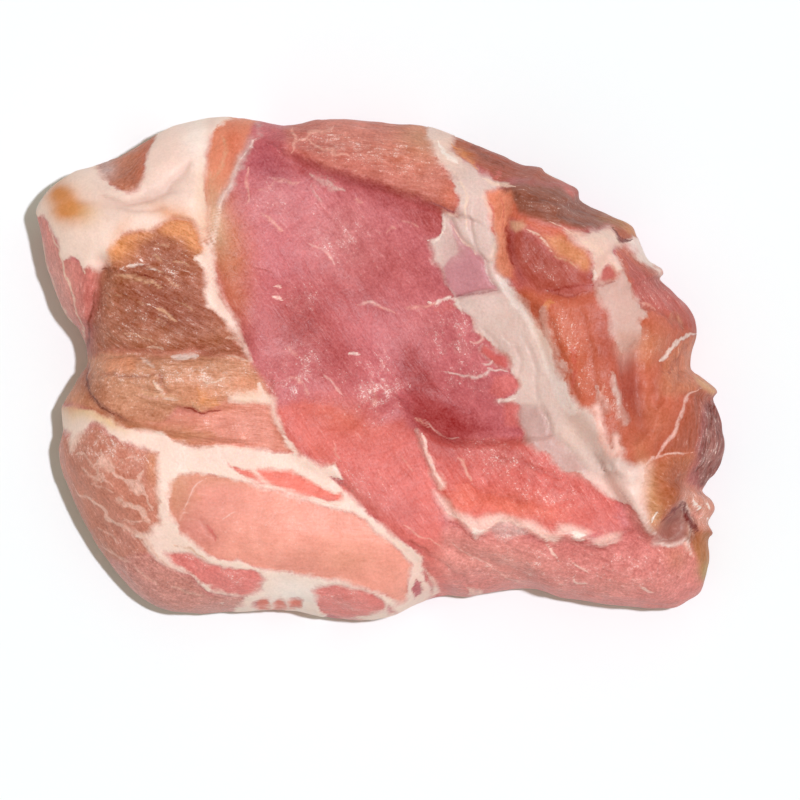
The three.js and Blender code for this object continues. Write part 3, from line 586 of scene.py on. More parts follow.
# Fat: each outline adds to what came before it or cuts a muscle out of it (its outline, or the name of a lean
# area), and each line adds a seam of the widths given for its ends.
fatShapes = [
    ("add", [(-134, 58), (-126, 76), (-108, 92), (-90, 98), (-62, 112), (-52, 104), (-52.5, 88), (-57, 85),
        (-59.4, 80.8), (-60.8, 73.6), (-61.5, 65.4), (-60.8, 50.5), (-61.2, 41), (-62.8, 45), (-66, 51),
        (-72.4, 53.8), (-81.6, 49.2), (-88.8, 47.9), (-93.9, 39.7), (-95.5, 36.1), (-98.1, 34.1),
        (-100.1, 35.1), (-102, 37.4), (-103.6, 34.4), (-105, 38.4), (-107.6, 39.4), (-110.4, 37),
        (-112.4, 40.8), (-112.9, 44.9), (-114.5, 49), (-116, 51.5), (-118, 53.4)]),
    ("cut", "capLean"),
    ("add", [(-61.4, 44), (-58.6, 44), (-57.9, 39), (-57.8, 34), (-57.2, 30), (-53, 20.6), (-50.4, 16.2),
        (-46.9, 7.6), (-44.6, 3.2), (-45.6, 3), (-53.6, 16.2), (-59.6, 22), (-60.8, 26), (-60.6, 31),
        (-62, 35.4), (-65.6, 38), (-64.6, 40), (-62.4, 40.6)]),
    ("add", [(-53, -8.8), (-43.4, -7.2), (-43.4, -3), (-39.4, -8.2), (-36, -9.6), (-34.8, -11.4),
        (-35.2, -15.4), (-33.4, -20), (-28.2, -29.4), (-30.2, -29.6), (-36.6, -16), (-37, -12.4),
        (-53, -10.6)]),
    ("add", [(-109, -29.4), (-108.2, -23.4), (-114, -17), (-130, -14), (-128, -11), (-108, -13),
        (-99.8, -14.9), (-95.2, -16.9), (-91.1, -20), (-84.9, -21.5), (-76.7, -22.6), (-66.4, -27.2),
        (-57.7, -26.7), (-35.2, -28), (-28.5, -29.2), (-20.3, -33.9), (-15.1, -32.3), (-13.6, -34.2),
        (-12, -37.5), (-17, -36.8), (-13.6, -41.2), (3, -56.2), (13.2, -63.4), (15, -65.6), (15.2, -69),
        (19, -74), (20.6, -79), (13, -84), (12, -104), (-56, -104), (-51.5, -84.3), (-46.9, -80.2),
        (-55.1, -79.7), (-60.3, -77.9), (-63.8, -75.4), (-66.9, -72.3), (-78.7, -67.1), (-81.8, -64.1),
        (-83.4, -60.5), (-81, -57.5), (-80.5, -55.5), (-77.5, -53.6), (-77.2, -46), (-77.8, -41),
        (-76.9, -36), (-77.2, -29.2), (-80.8, -29), (-92.1, -24.6), (-95.7, -22.1), (-97.7, -18.9),
        (-99.5, -18), (-105.4, -24.1)]),
    ("cut", "eyeMuscle"),
    ("cut", [(-53.1, -33.7), (-47, -35.2), (-43.9, -35.2), (-40.2, -39.9), (-48, -36.7)]),
    ("cut", [
        (-42.2, -34.9), (-36.7, -34.4), (-31.6, -34.7), (-27.4, -36.2), (-24.4, -38.6), (-18.2, -41),
        (-14.1, -43.1), (-13.4, -45.2), (-17.4, -45.6), (-33.1, -42), (-38.2, -40.3)]),
    ("cut", "roundMuscles"),
    ("cut", "bottomRound"),
    ("cut", [(2.6, -81.2), (4.2, -81.8), (4.8, -84.8), (2.6, -84.6)]),
    ("cut", [(-44.8, -82.6), (-42, -81), (-39.4, -81), (-39, -83.8), (-42, -84.6)]),
    ("cut", [(-38.4, -82.4), (-35.6, -80.6), (-33.2, -81.4), (-33.2, -84.6), (-37.4, -85.2)]),
    ("cut", [(-32.6, -81.4), (-29.6, -80.4), (-27, -80.8), (-28, -84), (-32.4, -84.6)]),
    ("cut", [(-50, -88.6), (-42, -86.4), (-38, -84.4), (-34, -85), (-31, -87.6), (-26, -90),
             (-27, -95), (-36, -98), (-50, -96)]),
    ("cut", [(-18, -85.6), (-10, -86.6), (-7, -88.4), (-9, -93), (-17, -94), (-21, -89)]),
    ("cut", [(-19, -91.4), (8, -88.6), (12.6, -92), (9, -99), (-6, -104), (-20, -100)]),
    ("cut", [(12.4, -73.2), (14, -74.4), (14.4, -79), (12, -79.6), (11, -76)]),
    ("cut", [(15.8, -70.4), (18.4, -75), (17.6, -79.6), (16.8, -75.2), (14.6, -71.4)]),
    ("line", (0.6, 1.6), [(-49, 74), (-53, 63), (-56.6, 55), (-57.4, 49.6), (-59.6, 40)]),
    # marbling
    ("line", (1.6, 2.2), [(-85.4, -59), (-82.4, -59), (-79.6, -58)]),
    ("faint", (0.6, 2.4), [(12.4, -21.6), (17.2, -31.4), (18.9, -36), (21.4, -40.4)]),
]

fatWashes = [
    ("fatPink", (-74, 74), (10, 12), 20, 0.8), ("fatGrey", (-80, 60), (18, 5), 20, 0.7),
    ("stain", (-111.6, 61), (4.6, 5), 20, 1.1), ("stain", (-108.6, 55.6), (5, 4.6), 0, 1.3),
    ("stain", (-105.6, 54.6), (4, 3), 0, 0.8), ("fatYellow", (-102, 54), (5, 4), 0, 0.4),
    ("orangeFat", (-72, 54), (8, 3.4), -20, 0.8), ("orangeFat", (-62, 48), (2.4, 6), 0, 0.35),
    ("orangeFat", (-90, 49), (5, 2), 60, 0.35), ("fatWarm", (-62, 60), (3, 14), 0, 0.5),
    ("fatGrey", (-97, 62), (5, 6), 40, 0.4), ("fatWhite", (-64, 80), (5, 8), 0, 0.6),
    ("fatWarm", (-45, -9), (8, 3), 0, 0.6), ("orangeFat", (-46, -7.4), (5, 1.6), 0, 0.4),
    ("fatYellow", (-104, -15), (6, 3), 0, 0.7), ("stain", (-108, -13), (5, 2), 0, 0.6),
    ("fatYellow", (-95, -18), (7, 2), -30, 0.8), ("fatPink", (-60, -31), (20, 3), 0, 0.4),
    ("fatWhite", (-30, -79), (12, 6), 0, 0.8), ("fatPink", (-78, -60), (5, 8), 0, 0.5),
    ("fringe", (-14, 79), (24, 8), 0, 0.85), ("fringe", (0, 10), (44, 40), 0, 0.75),
    ("fringe", (14, -75), (4, 6), 0, 0.5), ("fringe", (48, -66), (34, 12), 0, 0.6),
    ("silverCream", (104, -10), (12, 24), 0, 0.7), ("fringe", (-12, -45), (10, 4), -40, 0.3),
    ("fatWhite", (-68, 4), (8, 2), 0, 0.6), ("silverCream", (56, 45), (12, 8), 0, 0.5),
    ("fringe", (-92, -46), (16, 20), 0, 0.25), ("fatGrey", (-48, 80), (3, 12), -20, 0.5),
]

# Silverskin, membranes and dried surface over the lean: finish, how much it hides, then what it is.
filmShapes = [
    ("silver", 0.93, "add", [(17, 84), (15.9, 81.9), (20.1, 73.7), (23.6, 69.1), (26.7, 59.8), (27.2, 56.8),
        (26.7, 53.2), (21.6, 54.7), (21.1, 47.5), (16.5, 45.5), (18.5, 42.4), (19.3, 38.8), (22.1, 36.2),
        (25.2, 28), (26.7, 22.4), (31.9, 18.4), (33.4, 14.8), (39.1, 8.7), (43.7, 5.6), (45.2, 2),
        (44.7, -1.1), (47.8, -4.2), (48.3, -6.2), (46.2, -8.8), (41.1, -10.9), (47.8, -12.4), (48.5, -17.5),
        (50.3, -21.6), (50.6, -25.7), (55, -28.8), (58.6, -29.8), (59.6, -32.4), (64.2, -35), (69.3, -36),
        (77, -42.7), (81.1, -45.4), (87.3, -47.2), (92.9, -56.7), (96.2, -57.8), (92.9, -53.4), (91.2, -45),
        (92, -34), (88.6, -33.4), (83.7, -31.4), (77.6, -26.3), (75.5, -21.1), (74.5, -15.5), (67.8, -13.4),
        (65.7, -11.4), (64.2, -5.2), (61.1, 0.9), (56.5, 13.8), (50.9, 23.4), (47.3, 27.5), (43.2, 31.1),
        (40.6, 35.2), (41.1, 39.3), (42.1, 42.9), (39.1, 49.6), (36.5, 57.8), (37, 60.9), (41.1, 62.9),
        (43.2, 64.5), (34.9, 68.6), (30.8, 71.7), (27.8, 74.7), (25.2, 78.3), (30, 96), (20, 100)]),
    ("bedRose", 0.7, "add", [(33.9, 7.6), (36, 8.7), (39.1, 6.6), (43.2, 5.1), (44.7, 2), (43.2, -0.1),
        (37, 3.5)]),
    ("mauveFilm", 0.88, "add", [
        (23.1, 36.2), (26.7, 41.4), (23.6, 51.6), (29.8, 43.4), (34.4, 39.3), (36, 36.2), (38, 30.1),
        (41.6, 27.2), (34, 27), (26.7, 24.9), (24.4, 31)]),
    ("silverGrey", 0.9, "add", [
        (48.5, -13.6), (54, -13.2), (57.2, -15), (58.4, -20), (61.4, -24), (69.2, -32.2), (72.4, -36.2),
        (64.2, -35), (59.6, -32.4), (58.6, -29.8), (55, -28.8), (50.6, -25.7), (50.3, -21.6),
        (48.5, -17.5)]),
    ("silverCream", 0.85, "line", (2.2, 2.2), [
        (36.6, 60), (37.4, 56), (39, 51), (41, 46), (41.6, 42.6), (40.8, 38), (42.4, 32.6)]),
    ("fatWhite", 0.92, "line", (2.6, 4.6), [
        (42, 32), (44.4, 28), (54, 15), (56.8, 10), (60, 0), (64, -10), (67, -14)]),
    ("silverCream", 0.88, "add", [
        (64, 48), (70.9, 47.4), (77, 48), (80.4, 49.4), (82.6, 47.6), (84.4, 44.6), (86, 43.4), (82, 42),
        (80, 40.4), (84.4, 34), (81.6, 33), (80.2, 35), (78, 35), (76.4, 33.8), (76.2, 31.6), (73.6, 29.6),
        (72.6, 32), (73.6, 36), (72.4, 39.4)]),
    ("whiteFilm", 0.95, "add", [
        (84.6, 44.6), (87, 43.2), (89, 41.2), (88.6, 39.4), (90, 37.4), (95, 35), (97, 33.4), (98.2, 31.8),
        (98.4, 33), (99.8, 33.2), (98.6, 34.4), (99.4, 35.2), (96.8, 36), (97.4, 37.4), (95.4, 39.4),
        (94.8, 42), (91, 47)]),
    ("paleFilm", 0.88, "add", [
        (74.4, 28.4), (75, 25.4), (79.6, 18.6), (80, 15), (81, 12), (84, 6.4), (86, 7), (88.6, 9),
        (90.6, 12), (91.4, 17), (94, 18), (94, 19.6), (92, 21.2), (91, 24.6), (87, 27.6), (84, 34),
        (81.6, 33.4), (81.4, 31.4), (79, 30.4), (76.4, 31.4)]),
    ("fringe", 0.95, "line", (2.6, 3.4), [(75, -14), (76, -20), (77.4, -26), (80.4, -29.6), (82.4, -27.6),
                                         (82.2, -24.4)]),
    ("pocketFilm", 0.6, "line", (3, 2), [(106.6, -48), (107.6, -53), (106.4, -58), (101.6, -60.6),
                                         (97, -60)]),
    ("whiteFilm", 0.8, "line", (1.2, 1.4), [(106.6, -47.6), (108.4, -52.2), (108, -59), (102, -61.6),
                                            (96.6, -61)]),
    ("paleFilm", 0.6, "line", (1.6, 2.4), [(80, -2), (83.6, -12.6), (86.6, -18.8)]),
    ("paleFilm", 0.55, "line", (1.4, 2), [(74.4, -5.6), (75.6, -9.4), (77.8, -13.6)]),
    ("paleFilm", 0.6, "line", (1.4, 1), [(57, 21), (58, 14), (64, -1)]),
    ("sidePale", 0.5, "line", (4, 3), [(-121, 44), (-117, 30), (-113, 18)]),
]

filmWashes = [
    ("silverCream", (24, 76), (8, 9), -30, 0.9), ("silver", (33, 60), (7, 9), 0, 0.3),
    ("silverGrey", (25, 43), (4, 6), 0, 0.7), ("mauveFilm", (30, 33), (8, 6), 20, 0.5),
    ("silver", (43, 18), (6, 8), -40, 0.4), ("silverCream", (57, 12), (3, 12), 18, 0.8),
    ("silverGrey", (44, 9), (4, 5), 0, 0.3), ("silverGrey", (54, -22), (5, 7), -20, 0.6),
    ("silverCream", (67, -22), (5, 8), -10, 0.4), ("fringe", (86, -42), (6, 8), -40, 0.5),
    ("silverCream", (92, -40), (3, 8), 0, 0.7), ("fringe", (78, -40), (5, 3), -30, 0.5),
]

# Brush strokes over everything else, among them painted shade in folds and gaps and painted highlights and
# glints. Where two meet, the nearer one shows.
strokes = {  # by finish: width, strength, line
    "white": [
        (2.2, 0.9, [(20, 80), (23, 76), (26, 73.5), (27, 72)]),
        (1.4, 0.74, [(21.5, 54), (21.8, 50), (21, 47.5)]), (1.8, 0.7, [(16.5, 46), (18.5, 46), (21, 47)]),
        (1.3, 0.74, [(17, 24), (20, 23.2), (23, 24.8), (26, 24.5), (28, 22), (28.5, 20)]),
        (1.1, 0.55, [(34.5, 1.2), (37, 0.8), (39, 3.6)]),
        (1.2, 0.6, [(20, -0.5), (25, -1.2), (30, -2.3), (35, -2.8), (38, -0.6), (44, -0.5)]),
        (1.6, 0.69, [(41, -12), (41.5, -10.5), (44, -10.8), (47, -10)]),
        (1.5, 0.5, [(42, 12), (45, 9), (49, 8)]),
        (0.7, 0.5, [(55, -14), (57, -16), (58.2, -18.5), (58, -22)]), (1, 0.8, [(58.2, 27.8), (58.8, 27.2)]),
        (2.2, 0.45, [(68, -13), (70, -14.4), (72, -15)]), (4, 0.5, [(86, -36), (88, -40), (89, -45)]),
        # a painted glint at the lobe's tip
        (1.2, 0.85, [(96.2, -49.8), (95, -51.4), (94.8, -54)]),
        (1.4, 0.6, [(-44, 80), (-47, 76), (-49, 73)]), (1.4, 0.74, [(-11.5, 5.2), (-9.4, 5), (-7.5, 5.4)]),
        (2.4, 0.8, [(-56.4, -82.8), (-55.8, -82.6)]),
        (1.8, 0.7, [(-15.8, -33), (-14.6, -35.6), (-12.4, -37.8)]),
        (1, 0.46, [(35.4, 38.6), (36.6, 35), (37.6, 31), (39.4, 28.4)]),
        (1.8, 0.7, [(73.6, 33.8), (73.8, 31.4), (75, 30.2)]),
        (1, 0.5, [(-79, -9.8), (-74, -11), (-70.6, -11)]),
        # the next two strokes are painted highlights on the ragged flap's rim
        (2.6, 0.9, [(31.6, -55.4), (34, -57), (36.4, -55.6)]),
        (3, 0.95, [(66.4, -56.6), (68.6, -57.8), (70.8, -57.6)]),
        # the next three strokes are painted glints on the neck scraps
        (0.9, 0.9, [(112.6, -46.4), (114.8, -47.6), (115.6, -50)]),
        (0.9, 0.9, [(110, -45.4), (111, -48), (110.8, -50.4)]), (1, 0.8, [(113.4, -52.6), (115, -52.4)]),
        (1, 0.7, [(107, -60), (108.4, -63), (108.6, -66)]),
        # a painted highlight along the crest of the shoulder's ridge
        (1.3, 0.85, [(110, 12.7), (106.6, 11.6), (103.6, 9.4), (99.2, 4), (96.9, 1.6)]),
        # a painted highlight on the brown muscle
        (1, 0.75, [(-89.7, 36), (-84.8, 36.8), (-78.4, 34.8), (-75.6, 33)]),
    ],
    "orangePale": [
        (2.4, 0.7, [(25.5, 79.5), (30, 74), (34, 69.8)]), (5, 0.6, [(-94, 38), (-90, 43.4), (-86.4, 46.6)]),
        (4, 0.5, [(-77, 48.6), (-70, 47.6), (-64.6, 43)]), (3.4, 0.6, [(57.4, 22.6), (61, 22.8)]),
        (4, 0.7, [(-64, -7), (-61, -11), (-57, -12)]),
    ],
    # painted shade: dark lines along folds, seams and under edges, among them the shadow beneath the ridge's
    # crest
    "brownDark": [
        (2.4, 0.7, [(32, 78), (37, 74), (43, 70)]), (1.4, 0.3, [(60, 60.6), (70, 58), (78, 54.6)]),
        (5, 0.45, [(92, 34.4), (97, 31.4), (100, 28.6)]), (3.6, 0.7, [(108.6, -57), (107.8, -61)]),
        (2, 0.6, [(-96, 34.6), (-90, 34.2), (-86, 36), (-80, 36.8)]),
        (1.1, 0.7, [(-99.3, 27), (-100, 20), (-101.5, 15), (-102, 10), (-103, 3)]),
        (1.4, 0.45, [(86.6, 42), (89, 38), (92, 35.4), (97, 32.6)]),
        (3, 0.3, [(109, 10.2), (105, 8), (102, 4), (100, 0)]),
        (1.1, 0.9, [(-102.8, 1), (-103.4, -4), (-102, -8), (-100, -11), (-97, -13.6), (-89.6, -18.2)]),
        (0.9, 0.45, [(-97, -0.8), (-91, -2.8), (-80.6, -2)]),
        (1.1, 0.75, [(-98, 34.6), (-92, 35), (-83, 32.8), (-78, 30.2)]),
    ],
    "rightPink": [
        (3, 0.8, [(40.6, 68.6), (42.6, 67.4)]), (2.4, 0.6, [(-37, 83), (-35, 83.6)]),
    ],
    "cream": [
        (1.6, 0.8, [(36, 66.5), (40, 64.6), (44, 64.2), (47, 63)]),
        (1.4, 0.7, [(25, 70), (28, 66), (29.5, 61), (29.5, 57), (30, 48)]),
        (1.4, 0.7, [(23, 54), (27, 53.2)]), (1, 0.7, [(24, 50), (29, 44.5), (32, 42), (33.5, 40)]),
        (3.4, 0.6, [(38, 36), (39, 40), (39.6, 43)]), (1, 0.7, [(-82, 8), (-78, 8), (-76, 7)]),
        (1.2, 0.6, [(-54, 11), (-51, 10.5), (-48, 7.5)]), (1.2, 0.6, [(-53, 5), (-50, 4.3), (-46, 2.5)]),
        (1, 0.5, [(-105, 16), (-103.4, 10), (-102.6, 5)]),
        (0.9, 0.8, [(-116.4, 52), (-114.6, 46), (-111.2, 38), (-109.9, 32), (-107.8, 26.4), (-105.8, 19.7),
            (-103.6, 12), (-104.6, 4)]), (0.7, 0.8, [(-104, 37), (-103, 33)]),
        (0.8, 0.8, [(-119.5, 53), (-117, 40), (-113, 26), (-108.6, 17.6), (-105.6, 10)]),
        (0.9, 0.7, [(50, 48.8), (55, 46.4), (58, 44), (60.4, 41.2)]),
        (0.7, 0.6, [(58, 51.4), (63, 49.4), (67.4, 46.6)]), (2, 0.7, [(70, 44.2), (74, 41.6), (76.8, 38.8)]),
        (1.8, 0.9, [(-79.2, -3.2), (-77.6, -6), (-75.6, -9)]),
        (1, 0.7, [(-63.6, -2.8), (-61.6, -4), (-60.4, -7)]), (1, 0.7, [(-61, -4.6), (-57, -4.2), (-53, -3)]),
        (0.9, 0.7, [(-57, -26.8), (-50, -27.4), (-42, -28)]),
    ],
    "silverGrey": [
        (4, 0.5, [(25, 68), (28, 65.5)]), (2.6, 0.5, [(-44, 87), (-41.4, 83), (-43, 79.4)]),
        (4, 0.5, [(38, -55.6), (44, -55), (50, -57.4)]), (3.4, 0.6, [(-53, 60), (-50.6, 67), (-45.6, 79)]),
    ],
    # painted shade: dark lines under the upper flap's edge, along creases and at the pocket's edge
    "mauveDark": [
        (1, 0.7, [(16, 58), (24, 55), (26.5, 53)]), (2.4, 0.4, [(100, -54), (104, -52.6)]),
        (4, 0.3, [(41, -56.4), (46, -54.6)]), (1, 0.6, [(25, 25.2), (30, 25.6), (42, 27.2)]),
    ],
    "edgeOrange": [
        (2.2, 0.5, [(44, 61), (46, 57), (47, 53), (50, 51), (55, 49.5)]),
        (2.6, 0.6, [(82.4, 41.4), (84.6, 38.4), (86.4, 34.4)]),
    ],
    "pinkPale": [
        (1.8, 0.8, [(106.6, -60.6), (108, -64), (110, -66.4)]), (1, 0.4, [(7, -29), (9, -32), (11, -36)]),
        (1.4, 0.7, [(-31.5, 75.5), (-29.5, 79.5), (-30.5, 82.5), (-31, 85)]),
        (1.4, 0.7, [(-29.5, 79.5), (-26, 80.5), (-24, 82.5), (-19, 82.5), (-16, 84.5)]),
        (1.4, 0.7, [(-25, 80.5), (-22, 78), (-19, 77), (-16.5, 77), (-15.5, 75), (-12, 74.5), (-11, 73.5)]),
        (1.3, 0.6, [(-46, 71), (-46.2, 60), (-47, 58)]),
        (1.5, 0.55, [(-39, 67), (-36, 66.5), (-31, 65), (-28, 65.5)]),
        (1.5, 0.46, [(-43, 62.5), (-39, 63), (-38, 65)]), (1.5, 0.64, [(-9.5, 58.5), (-6, 56.5)]),
        (1.5, 0.64, [(-41, 54), (-37.5, 50.5), (-34, 48.5)]), (1.4, 0.55, [(2, 47), (4, 48.6), (6, 48)]),
        (1.4, 0.46, [(7, 51), (11, 50.6), (14, 49)]), (1.4, 0.46, [(-32, 8), (-30, 6), (-28, 5)]),
        (1.4, 0.46, [(-32, -3), (-28, -4), (-25.6, -6), (-24, -10)]), (3, 0.4, [(-2.4, -8), (-1.4, -13)]),
        (1.4, 0.64, [(-3.5, 22.8), (0, 21.4), (5, 19)]), (1.5, 0.55, [(9, 21), (13, 21), (20, 23.4)]),
        (1.4, 0.46, [(-16, -26), (-15, -29), (-13.5, -31)]), (1.4, 0.6, [(12.5, -16.5), (15.5, -20)]),
        (1.2, 0.6, [(-85, -8.4), (-80.6, -10), (-76.4, -10.6)]),
        (1.4, 0.6, [(-69.8, -53.2), (-69, -50.6), (-66, -49.9)]),
        (0.8, 0.6, [(-79, -67), (-84, -66.8), (-88, -65.4)]),
        (0.7, 0.6, [(6.6, -52.6), (12, -56.6), (18, -59.6), (24.5, -64.9)]),
        (0.7, 0.6, [(-51, -36.4), (-36, -42.2), (-11, -48)]),
        (0.9, 0.5, [(-68, -52.2), (-62, -52.4), (-58.6, -54)]),
        (1, 0.7, [(91.4, 23.6), (94, 22.4), (97, 21)]),
        # the first stroke on this line is a painted glint streak
        (1.8, 0.6, [(77.4, -4.6), (76.6, -8), (75.6, -11.4)]), (2.4, 0.5, [(56.6, 19), (58, 16), (60, 12)]),
        (1.5, 0.7, [(26, -30.6), (28.6, -33), (31, -37), (32.6, -41)]),
        (1.4, 0.7, [(106.8, -62), (108.4, -65), (110, -66.8)]),
    ],
    "roundDeep": [
        (4, 0.5, [(20, 21), (27, 22)]), (4, 0.4, [(109, -51), (112.6, -50)]),
        (1.6, 0.7, [(-60.6, -53), (-58.2, -55.4), (-57, -59)]),
    ],
    "greyPale": [
        (3, 0.35, [(44, 25.4), (50.6, 15.6), (55.4, 3)]),
    ],
    # painted shade: dark lines along folds and hollows of the shoulder, the roll's lip and under the flaps'
    # edges
    "redDark": [
        (0.9, 0.7, [(57, 29), (60, 27), (66, 28.3), (75, 28.5)]),
        (0.8, 0.6, [(60, 26), (66, 25.6), (72, 26.5)]), (1.1, 0.45, [(92, 21.2), (97, 19.6), (101, 18.4)]),
        (4, 0.35, [(87.6, -4), (88, -11), (89, -17)]), (1, 0.6, [(65.4, -58.6), (69, -60.4), (72.4, -59.6)]),
        (1, 0.5, [(73, -62), (78, -63.2), (83, -60.8)]), (1, 0.4, [(9, -58.6), (14, -61.6), (20, -64.4)]),
        (1.6, 0.8, [(43.4, 50.4), (44.4, 46), (46.5, 35.4)]),
        (1.6, 0.4, [(50, 48), (55, 44.6), (60, 39.8), (64, 36.4)]),
        (1.2, 0.6, [(74.8, 29.2), (77.6, 29), (81, 30.4)]), (1.8, 0.6, [(-77, -1.6), (-76.2, -5)]),
        (0.9, 0.8, [(-72.4, -13.2), (-66, -14.6), (-63, -15.5), (-59, -14.6), (-54.6, -14)]),
        (1.8, 0.35, [(83, -42), (87, -47.6), (90.6, -53.6), (93.6, -58.4), (96.6, -58.8)]),
        (1, 0.5, [(18.4, -45), (22, -51), (26.4, -53.4), (30, -56.6), (33.6, -59), (37, -57.6)]),
        (1, 0.45, [(49, -56.4), (55, -59.4), (61, -61.8), (63.6, -59.4)]),
        (0.8, 0.6, [(-48, 37.2), (-40, 35.4), (-36.6, 34.2)]),
    ],
    "rose": [
        (2.4, 0.5, [(67, 8), (66.6, 0), (66, -8)]), (2, 0.4, [(86, 34), (88, 29), (91, 24.6)]),
        (1.1, 0.6, [(37.6, 58), (38.6, 54), (39, 50), (39.8, 46.4)]),
        (0.8, 0.5, [(42, 60), (42.6, 55), (42.4, 50), (42.6, 45)]),
    ],
    "fan": [
        (1, 0.4, [(50, 57.6), (60, 56.6), (70, 54.6)]),
    ],
    "tanPale": [
        (1, 0.6, [(-95, 33.4), (-92, 33), (-90, 33.2)]), (1.4, 0.7, [(-89, 32), (-85, 32), (-78, 29.5)]),
        (1, 0.6, [(-89, 34.8), (-85, 36.5), (-80, 36), (-77, 34), (-74, 31), (-71, 29.5), (-68, 29)]),
        # the next two strokes are painted highlights on the brown muscle
        (1.2, 0.6, [(-80, 44.7), (-76, 43.5), (-74.5, 42.5)]),
        (1.3, 0.6, [(-80.5, 41.5), (-78, 39), (-76, 38)]), (1, 0.6, [(-74, 38.2), (-70, 37.5), (-66, 35)]),
        (0.8, 0.6, [(61, 40.4), (64.6, 37.6), (68, 34.6)]),
        (3, 0.5, [(102, 19.6), (104, 17.4), (106, 14.6)]), (1.4, 0.6, [(-97, 4.6), (-90, 4.6), (-85.6, 5)]),
        (2.2, 0.7, [(-83.4, -7.6), (-79, -9.2), (-70, -10.8)]),
        (1.4, 0.7, [(-66.4, -11), (-65, -13), (-62.6, -14.6)]),
        # the next two strokes are painted highlights on the brown muscle
        (1.4, 0.8, [(-79, 21.6), (-75, 20), (-71, 17)]), (1, 0.7, [(-79, 17.4), (-74.6, 15.8)]),
        (1.6, 0.5, [(-93, 26), (-88, 25), (-83, 22.6)]), (1, 0.5, [(-90, 13.4), (-84, 12), (-79, 9.6)]),
        (1, 0.5, [(-74, 25), (-69, 22.6), (-65, 20)]), (1.5, 0.85, [(-92, 33.2), (-82, 31), (-77, 28.2)]),
        (1.8, 0.6, [(-56, 82), (-54, 77), (-56, 71), (-58.4, 66)]),
        (1.4, 0.55, [(-60, 70), (-59, 63), (-58.6, 57)]),
        (1.1, 0.6, [(-73.2, -61), (-66, -62.6), (-60, -66)]),
    ],
    "tailOlive": [
        (3, 0.4, [(76, 52.6), (81, 51.8), (85, 50.6)]),
    ],
    "rosePale": [
        (2, 0.4, [(96.2, -2), (96.6, -6), (96, -12), (97.6, -15)]),
        (1, 0.6, [(-12, 81), (-8, 80), (-6.5, 78)]), (1, 0.5, [(-8, 76), (0, 73.4), (8, 70)]),
        (0.9, 0.5, [(-2, 79), (6, 76), (12, 72)]), (0.9, 0.5, [(2, 68.6), (10, 65.6), (17, 62)]),
        (2, 0.5, [(97, -1), (97, -6), (97.4, -11)]), (1.2, 0.6, [(-66, -21), (-60, -21.6), (-52, -23)]),
        (1, 0.6, [(-68, -23.6), (-62, -24.8), (-54, -24.6)]),
    ],
    "rust": [
        (1.6, 0.6, [(97.6, -54.6), (99.6, -51.8), (102.6, -49.6)]),
        (2.2, 0.5, [(-101, -8.6), (-102.6, -9.6), (-104, -12)]),
    ],
    # painted shade in the gaps at the neck pocket and its scraps, and at the fan's end
    "deep": [
        (2.6, 0.9, [(106, -48), (107.4, -51.8), (109.4, -55), (111.4, -57.2)]),
        (1.8, 0.9, [(81.6, 49.6), (83, 47), (85, 44.9), (88, 44.7)]),
        (1.4, 0.8, [(98, -54.2), (100, -51.6), (106, -47)]),
        (1.4, 0.8, [(106.4, -45.4), (107.2, -49), (111.4, -57.4)]),
    ],
    "bedDark": [
        # a painted shadow under the upper flap's edge
        (3.4, 0.5, [(-25, 73), (-20, 70.6), (-10, 66.6), (10, 59.4), (15, 56.8)]),
        (8, 0.45, [(-32, 20), (-24, 13), (-17, 7)]),
    ],
    "paleFilm": [
        (3, 0.65, [(-24, 68.6), (-21.6, 66.4), (-19, 64.8), (-13, 62.4)]),
        (1.6, 0.5, [(-24, 64.6), (-22, 60.6), (-20, 58)]),
    ],
    "brownRed": [
        (7, 0.4, [(-92, 25), (-84, 26), (-76, 25)]),
        (1.4, 0.6, [(-94, 30), (-88, 29.4), (-82, 26.4), (-76, 25)]),
        (1.2, 0.6, [(-84, 20), (-78, 18.4), (-72, 14)]), (1.4, 0.5, [(-78, 34), (-72, 31.4), (-66, 27.4)]),
        (1.2, 0.5, [(-96, 18), (-90, 17), (-84, 13.6)]), (1, 0.5, [(-70, 19.6), (-64, 16.4), (-58, 13)]),
        (1, 0.5, [(-80, 31), (-74, 28)]),
    ],
    "marbledTan": [
        (2, 0.4, [(-64.6, -42), (-62, -46)]),
    ],
    "redMuscleDull": [
        (3, 0.5, [(-12, -39.4), (-6, -44), (0, -50)]),
    ],
    "pocketFilm": [
        (1, 0.5, [(-16.4, -37.4), (-12.6, -40), (-8, -44)]),
    ],
    "vein": [
        (1.2, 0.92, [(-97.2, -27.6), (-96.4, -31.4), (-92.2, -36.5), (-89.4, -38.3), (-86.7, -40.4),
            (-84, -41.6), (-81.4, -44.6), (-79.6, -47.6)]),
        (3.8, 0.87, [(-97, -31.6), (-94.4, -34.4), (-92.6, -36.2)]),
        (1.7, 0.82, [(-99.4, -33), (-96, -32.6)]),
        (4.3, 0.87, [(-88, -38.6), (-85.4, -40.6), (-82.6, -42.6)]),
        (1.6, 0.82, [(-83, -34.4), (-83.8, -37), (-85.4, -39.6)]),
        (1, 0.82, [(-107.6, -30.2), (-105, -30.2), (-103, -31)]),
        (1, 0.72, [(-105, -34), (-101.7, -36), (-96, -40.2)]), (2.4, 0.72, [(-100, -37.4), (-97.6, -38.8)]),
        (1.9, 0.92, [(-91.4, -44.8), (-88.5, -47.2), (-84.9, -48.2), (-82.4, -50.6), (-80.6, -54)]),
        (2.6, 0.62, [(-92, -45), (-90, -46.2)]),
        (1.3, 0.92, [(-107.6, -40.6), (-104.9, -44.4), (-101.3, -45.2), (-96.6, -49), (-96.3, -51.5),
            (-94.9, -53.3), (-91.7, -55), (-88.1, -56.1), (-85.3, -58.3), (-83.6, -61)]),
        (2.6, 0.72, [(-92, -54.8), (-88, -56.2), (-85, -58.6)]),
        (1.9, 0.62, [(-104.6, -44.6), (-101.4, -45.2)]),
